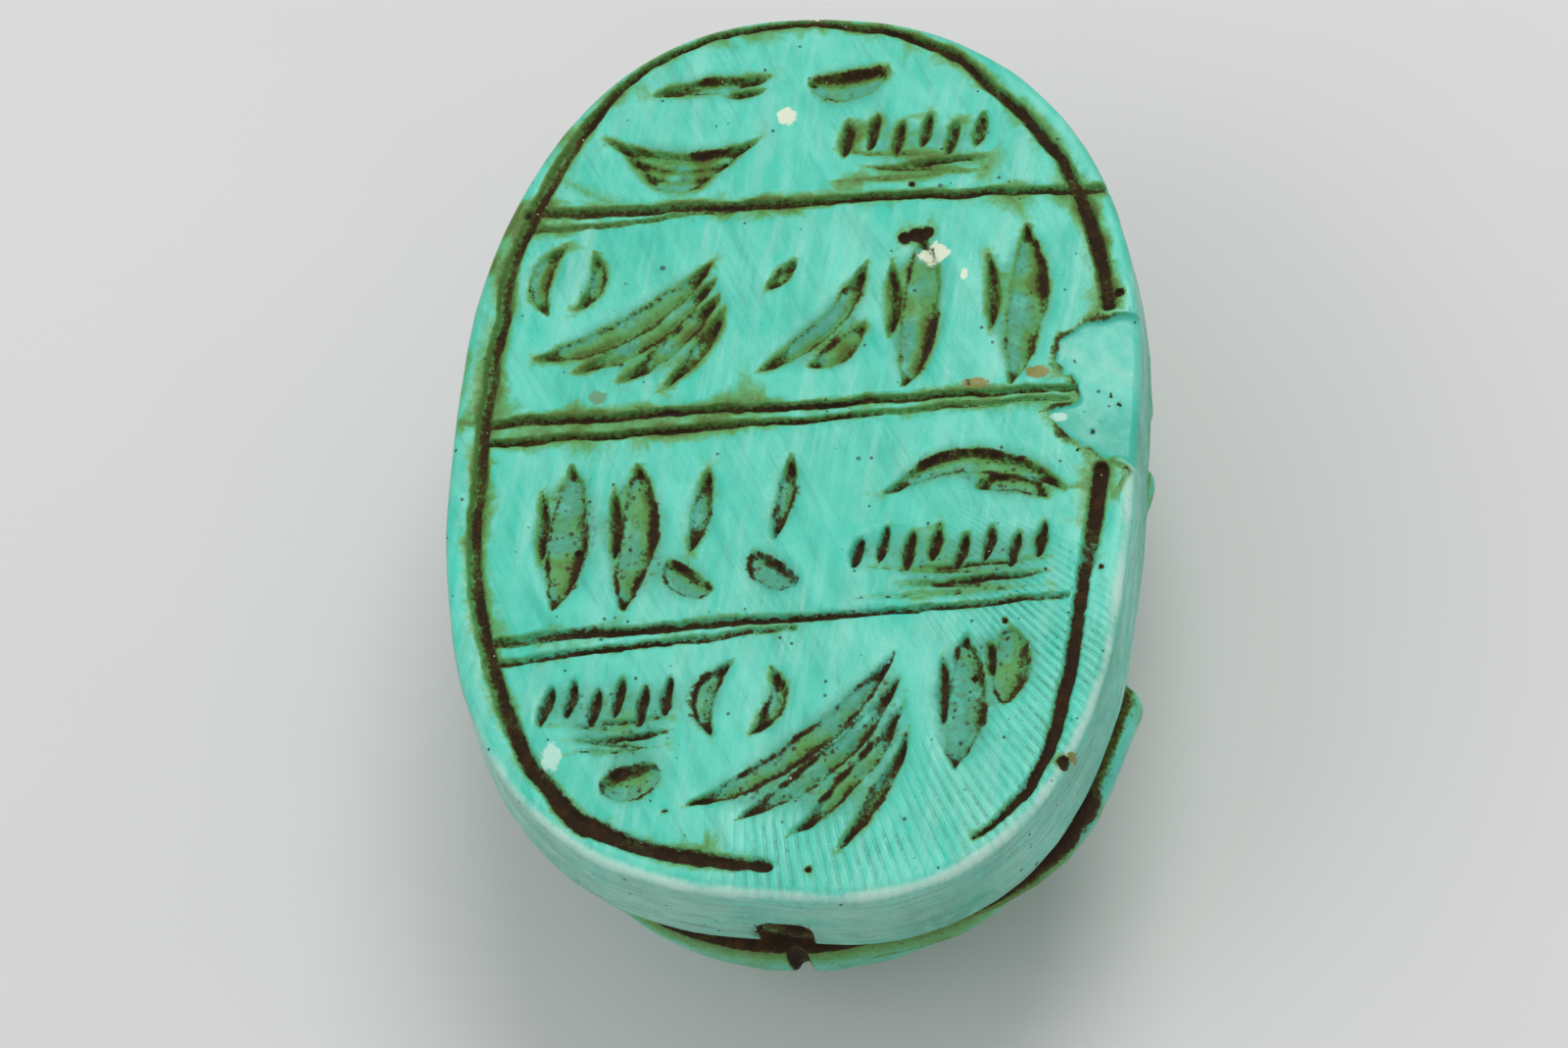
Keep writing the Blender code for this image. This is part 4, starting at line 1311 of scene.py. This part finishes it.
def speck_mask(nodes, position, size, share, largest):
    """Specks of mixed sizes in some of the cells."""
    cells = nodes.add("TexVoronoi", Vector=position, Scale=1 / size)
    split = nodes.add("SeparateColor", cells.outputs["Color"])
    radius = nodes.step(split.outputs[0], 1 - share, 1.0, largest / size)
    ragged = nodes.times(nodes.noise(position, 6.0, 2.0), 0.10)
    reach = nodes.minus(radius, nodes.plus(cells.outputs["Distance"], ragged))
    return nodes.step(reach, -0.03, 0.05)


def spotted(nodes, position, colour, middle, fray):
    """The colour with the bare spots laid over it."""
    for spot_x, spot_y, half_width, half_height, paint in SPOTS:
        place = (spot_x - middle[0], spot_y - middle[1], HEIGHT)
        offset = nodes.stretched(position, 0, (half_width, half_height, SPOT_REACH), place)
        length = nodes.add("VectorMath", offset)
        length.operation = "LENGTH"
        reach = nodes.minus(nodes.times(fray, 1.6), length.outputs["Value"])
        colour = nodes.over(colour, paint, reach, -1.15, -0.90)
    return colour


def file_grooves(nodes, position, middle):
    """The fine grooves of the file, as file_mark_maps has them."""
    split = nodes.add("SeparateXYZ", position)
    off_x = nodes.plus(split.outputs[0], middle[0] - FILE_CENTRE[0])
    off_y = nodes.plus(split.outputs[1], middle[1] - FILE_CENTRE[1])
    squares = nodes.plus(nodes.math("POWER", off_x, 2.0), nodes.math("POWER", off_y, 2.0))
    sway = nodes.math("SINE", nodes.math("DIVIDE", nodes.math("SQRT", squares), FILE_SWAY_LENGTH))
    turns = nodes.math("DIVIDE", nodes.math("ARCTAN2", off_y, off_x), math.radians(FILE_PITCH_DEG))
    phase = nodes.plus(turns, nodes.times(sway, FILE_SWAY))
    wave = nodes.math("COSINE", nodes.times(phase, 2 * math.pi))
    return nodes.step(wave, 0.2, 1.0)


def soil_colour(nodes, position, soil_field, coarse, crumbs):
    """Dark soil, thin at its edges, with red patches, crumbs and glints."""
    colour = nodes.over(OLIVE_SOIL, SOIL, soil_field, 0.50, 0.90)
    colour = nodes.over(colour, RED_SOIL, coarse, 0.50, 0.72, 0.6)
    colour = nodes.over(colour, SOIL_CRUMB, crumbs, 0.60, 0.82)
    return nodes.mix(speck_mask(nodes, position, 0.50, 0.20, 0.11), colour, SOIL_GLINT)


def glaze_material(middle):
    """The glaze with its stain, wear, chip, spots and specks, and the soil on top."""
    material = bpy.data.materials.new("soiled_turquoise_glaze")
    nodes = Nodes(material)
    shader = nodes.shader
    coordinates = nodes.add("TexCoord")
    position = nodes.stretched(coordinates.outputs["Object"], 0, (0.001, 0.001, 0.001))
    fine = nodes.noise(position, 3.2, 5.0, 0.7)
    coarse = nodes.noise(position, 0.9, 4.0, 0.6)
    grit = nodes.noise(position, 2.2, 5.0, 0.7)
    crumbs = nodes.noise(position, 5.0, 4.0, 0.75)
    fray = nodes.minus(fine, 0.5)

    colour = walled(nodes, position, glaze_colour(nodes, position))
    # Mid-green from the tint: partly deeper glaze, partly painted shade in cuts, hollows and the chip's
    # lower part.
    tint_and_shade = nodes.attribute("tint_and_shade")
    tint_and_shade_share = nodes.times(tint_and_shade, nodes.step(coarse, 0.15, 0.55, 0.9), True)
    colour = nodes.mix(tint_and_shade_share, colour, MID_GREEN)
    grooves = nodes.times(nodes.attribute("marks"), file_grooves(nodes, position, middle))
    broken = nodes.times(nodes.step(coarse, 0.38, 0.62, 0.85), nodes.step(fine, 0.36, 0.54))
    colour = nodes.mix(nodes.times(grooves, broken), colour, MID_GREEN)

    # The stain also brings painted shade under the plinth and at the tail.
    stain = nodes.plus(nodes.attribute("stain"), nodes.times(fray, 0.8))
    colour = nodes.over(colour, GREEN_STAIN, stain, 0.15, 0.62, 0.85)
    colour = nodes.over(colour, OLIVE, stain, 0.50, 1.00, 0.90)
    wear = nodes.plus(nodes.attribute("wear"), nodes.times(fray, 0.7))
    colour = nodes.over(colour, WORN, wear, 0.20, 1.00, 0.80)
    chip = nodes.attribute("chip")
    flow = nodes.streaks(position, -32, (4.0, 1.3, 1.0))
    chip_tone = nodes.over(PALE_TURQUOISE, WORN, flow, 0.40, 0.70, 0.45)
    colour = nodes.over(colour, DEEP_TURQUOISE, chip, 0.02, 0.14, 0.60)
    colour = nodes.over(colour, chip_tone, chip, 0.20, 0.80, 0.42)
    colour = spotted(nodes, position, colour, middle, fray)

    in_cuts = nodes.step(tint_and_shade, 0.45, 0.9)
    colour = nodes.mix(nodes.times(nodes.step(grit, 0.50, 0.66, 0.6), in_cuts), colour, OLIVE)
    pitting = nodes.times(speck_mask(nodes, position, 0.37, 0.75, 0.20), in_cuts)
    pitting = nodes.times(pitting, nodes.step(grit, 0.40, 0.58))
    along = nodes.add("SeparateXYZ", position).outputs[1]
    colour = nodes.mix(nodes.times(pitting, nodes.step(along, 8.0, -3.0, 0.9)), colour, SOIL)
    small_specks = speck_mask(nodes, position, 0.70, 0.36, 0.15)
    large_specks = speck_mask(nodes, position, 2.1, 0.24, 0.29)
    specks = nodes.math("MAXIMUM", small_specks, large_specks)
    colour = nodes.mix(nodes.times(specks, 0.85), colour, SPECK)

    # The soil also brings painted shade into the crevices and under the plinth.
    soil_field = nodes.plus(nodes.attribute("soil"), nodes.times(fray, 1.4))
    soil_mask = nodes.step(soil_field, 0.30, 0.66)
    soil = soil_colour(nodes, position, soil_field, coarse, crumbs)
    nodes.set(shader.inputs["Base Color"], nodes.mix(soil_mask, colour, soil))

    gloss = nodes.plus(nodes.step(coarse, 0.3, 0.7, 0.16), 0.30)
    gloss = nodes.plus(gloss, nodes.step(nodes.plus(stain, tint_and_shade), 0.3, 1.2, 0.30))
    gloss = nodes.plus(gloss, nodes.times(soil_mask, 0.6), True)
    nodes.set(shader.inputs["Roughness"], gloss)
    nodes.set(shader.inputs["IOR"], 1.5)

    brushed = nodes.streaks(position, -62, (3.0, 0.35, 0.5))
    relief = nodes.plus(nodes.times(nodes.noise(position, 6.0, 3.0, 0.6), 0.35), nodes.times(brushed, 0.15))
    relief = nodes.minus(relief, grooves)
    relief = nodes.plus(relief, nodes.times(soil_mask, nodes.times(crumbs, 2.2)))
    relief = nodes.minus(relief, nodes.times(specks, 0.8))
    bump = nodes.add("Bump", Strength=0.8, Distance=0.00006, Height=relief)
    nodes.set(shader.inputs["Normal"], bump.outputs[0])
    return material


# The surroundings

FLOOR_SIZE = 6.0
FLOOR_GREY = (0.700, 0.695, 0.695, 1)
FLOOR_PALE = (0.720, 0.715, 0.710, 1)


def floor_material():
    material = bpy.data.materials.new("pale_table")
    nodes = Nodes(material)
    mottling = nodes.noise(nodes.add("TexCoord").outputs["Object"], 14.0)
    nodes.set(nodes.shader.inputs["Base Color"], nodes.over(FLOOR_GREY, FLOOR_PALE, mottling, 0.3, 0.7))
    nodes.set(nodes.shader.inputs["Roughness"], 0.7)
    return material


def add_floor():
    bpy.ops.mesh.primitive_plane_add(size=FLOOR_SIZE, location=(0, 0, 0))
    floor = bpy.context.object
    floor.name = "table"
    floor.data.materials.append(floor_material())


def add_light(name, position, size, energy, colour):
    light = bpy.data.lights.new(name, "AREA")
    light.shape = "DISK"
    light.size = size
    light.energy = energy
    light.color = colour
    lamp = new_object(name, light)
    lamp.location = position
    aim = Vector((0, 0, HEIGHT / 2000)) - Vector(position)
    lamp.rotation_euler = aim.to_track_quat("-Z", "Y").to_euler()


SKY = (0.97, 0.985, 1.0, 1)
SKY_STRENGTH = 0.58

# The lamps: (name, position, size, energy, colour)
LAMPS = (
    ("key", (0.10, 0.22, 0.50), 0.30, 1.15, (1.0, 0.99, 0.97)),
    ("fill", (-0.35, -0.15, 0.40), 0.40, 0.40, (0.97, 0.99, 1.0)),
)


def add_lighting():
    world = bpy.data.worlds.new("studio")
    bpy.context.scene.world = world
    world.use_nodes = True
    background = world.node_tree.nodes["Background"]
    background.inputs["Color"].default_value = SKY
    background.inputs["Strength"].default_value = SKY_STRENGTH
    for lamp in LAMPS:
        add_light(*lamp)


def add_camera(middle):
    """The photograph's camera, fitted to the outline of the face."""
    turn = Matrix.Identity(3)
    for axis, degrees in (("Z", VIEW_AZIMUTH_DEG), ("X", 90 - VIEW_ELEVATION_DEG), ("Z", VIEW_ROLL_DEG)):
        turn = turn @ Matrix.Rotation(math.radians(degrees), 3, axis)
    target = Vector((VIEW_TARGET[0] - middle[0], VIEW_TARGET[1] - middle[1], HEIGHT))
    place = (target + turn.col[2] * VIEW_DISTANCE) / 1000
    data = bpy.data.cameras.new("photo_camera")
    data.sensor_fit = "HORIZONTAL"
    data.sensor_width = SENSOR_WIDTH
    data.lens = PIXELS_PER_MM * VIEW_DISTANCE * SENSOR_WIDTH / PHOTO_WIDTH
    data.clip_start = CLIP_START
    data.clip_end = CLIP_END
    camera = new_object("photo_camera", data)
    camera.matrix_world = Matrix.Translation(place) @ turn.to_4x4()
    bpy.context.scene.camera = camera


amulet = build_amulet()
box_middle = to_frame(amulet)
amulet.data.materials.clear()
amulet.data.materials.append(glaze_material(box_middle))
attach(amulet, "root")
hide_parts("scarab")

add_floor()
add_lighting()
add_camera(box_middle)
bpy.context.scene.view_settings.view_transform = "Standard"
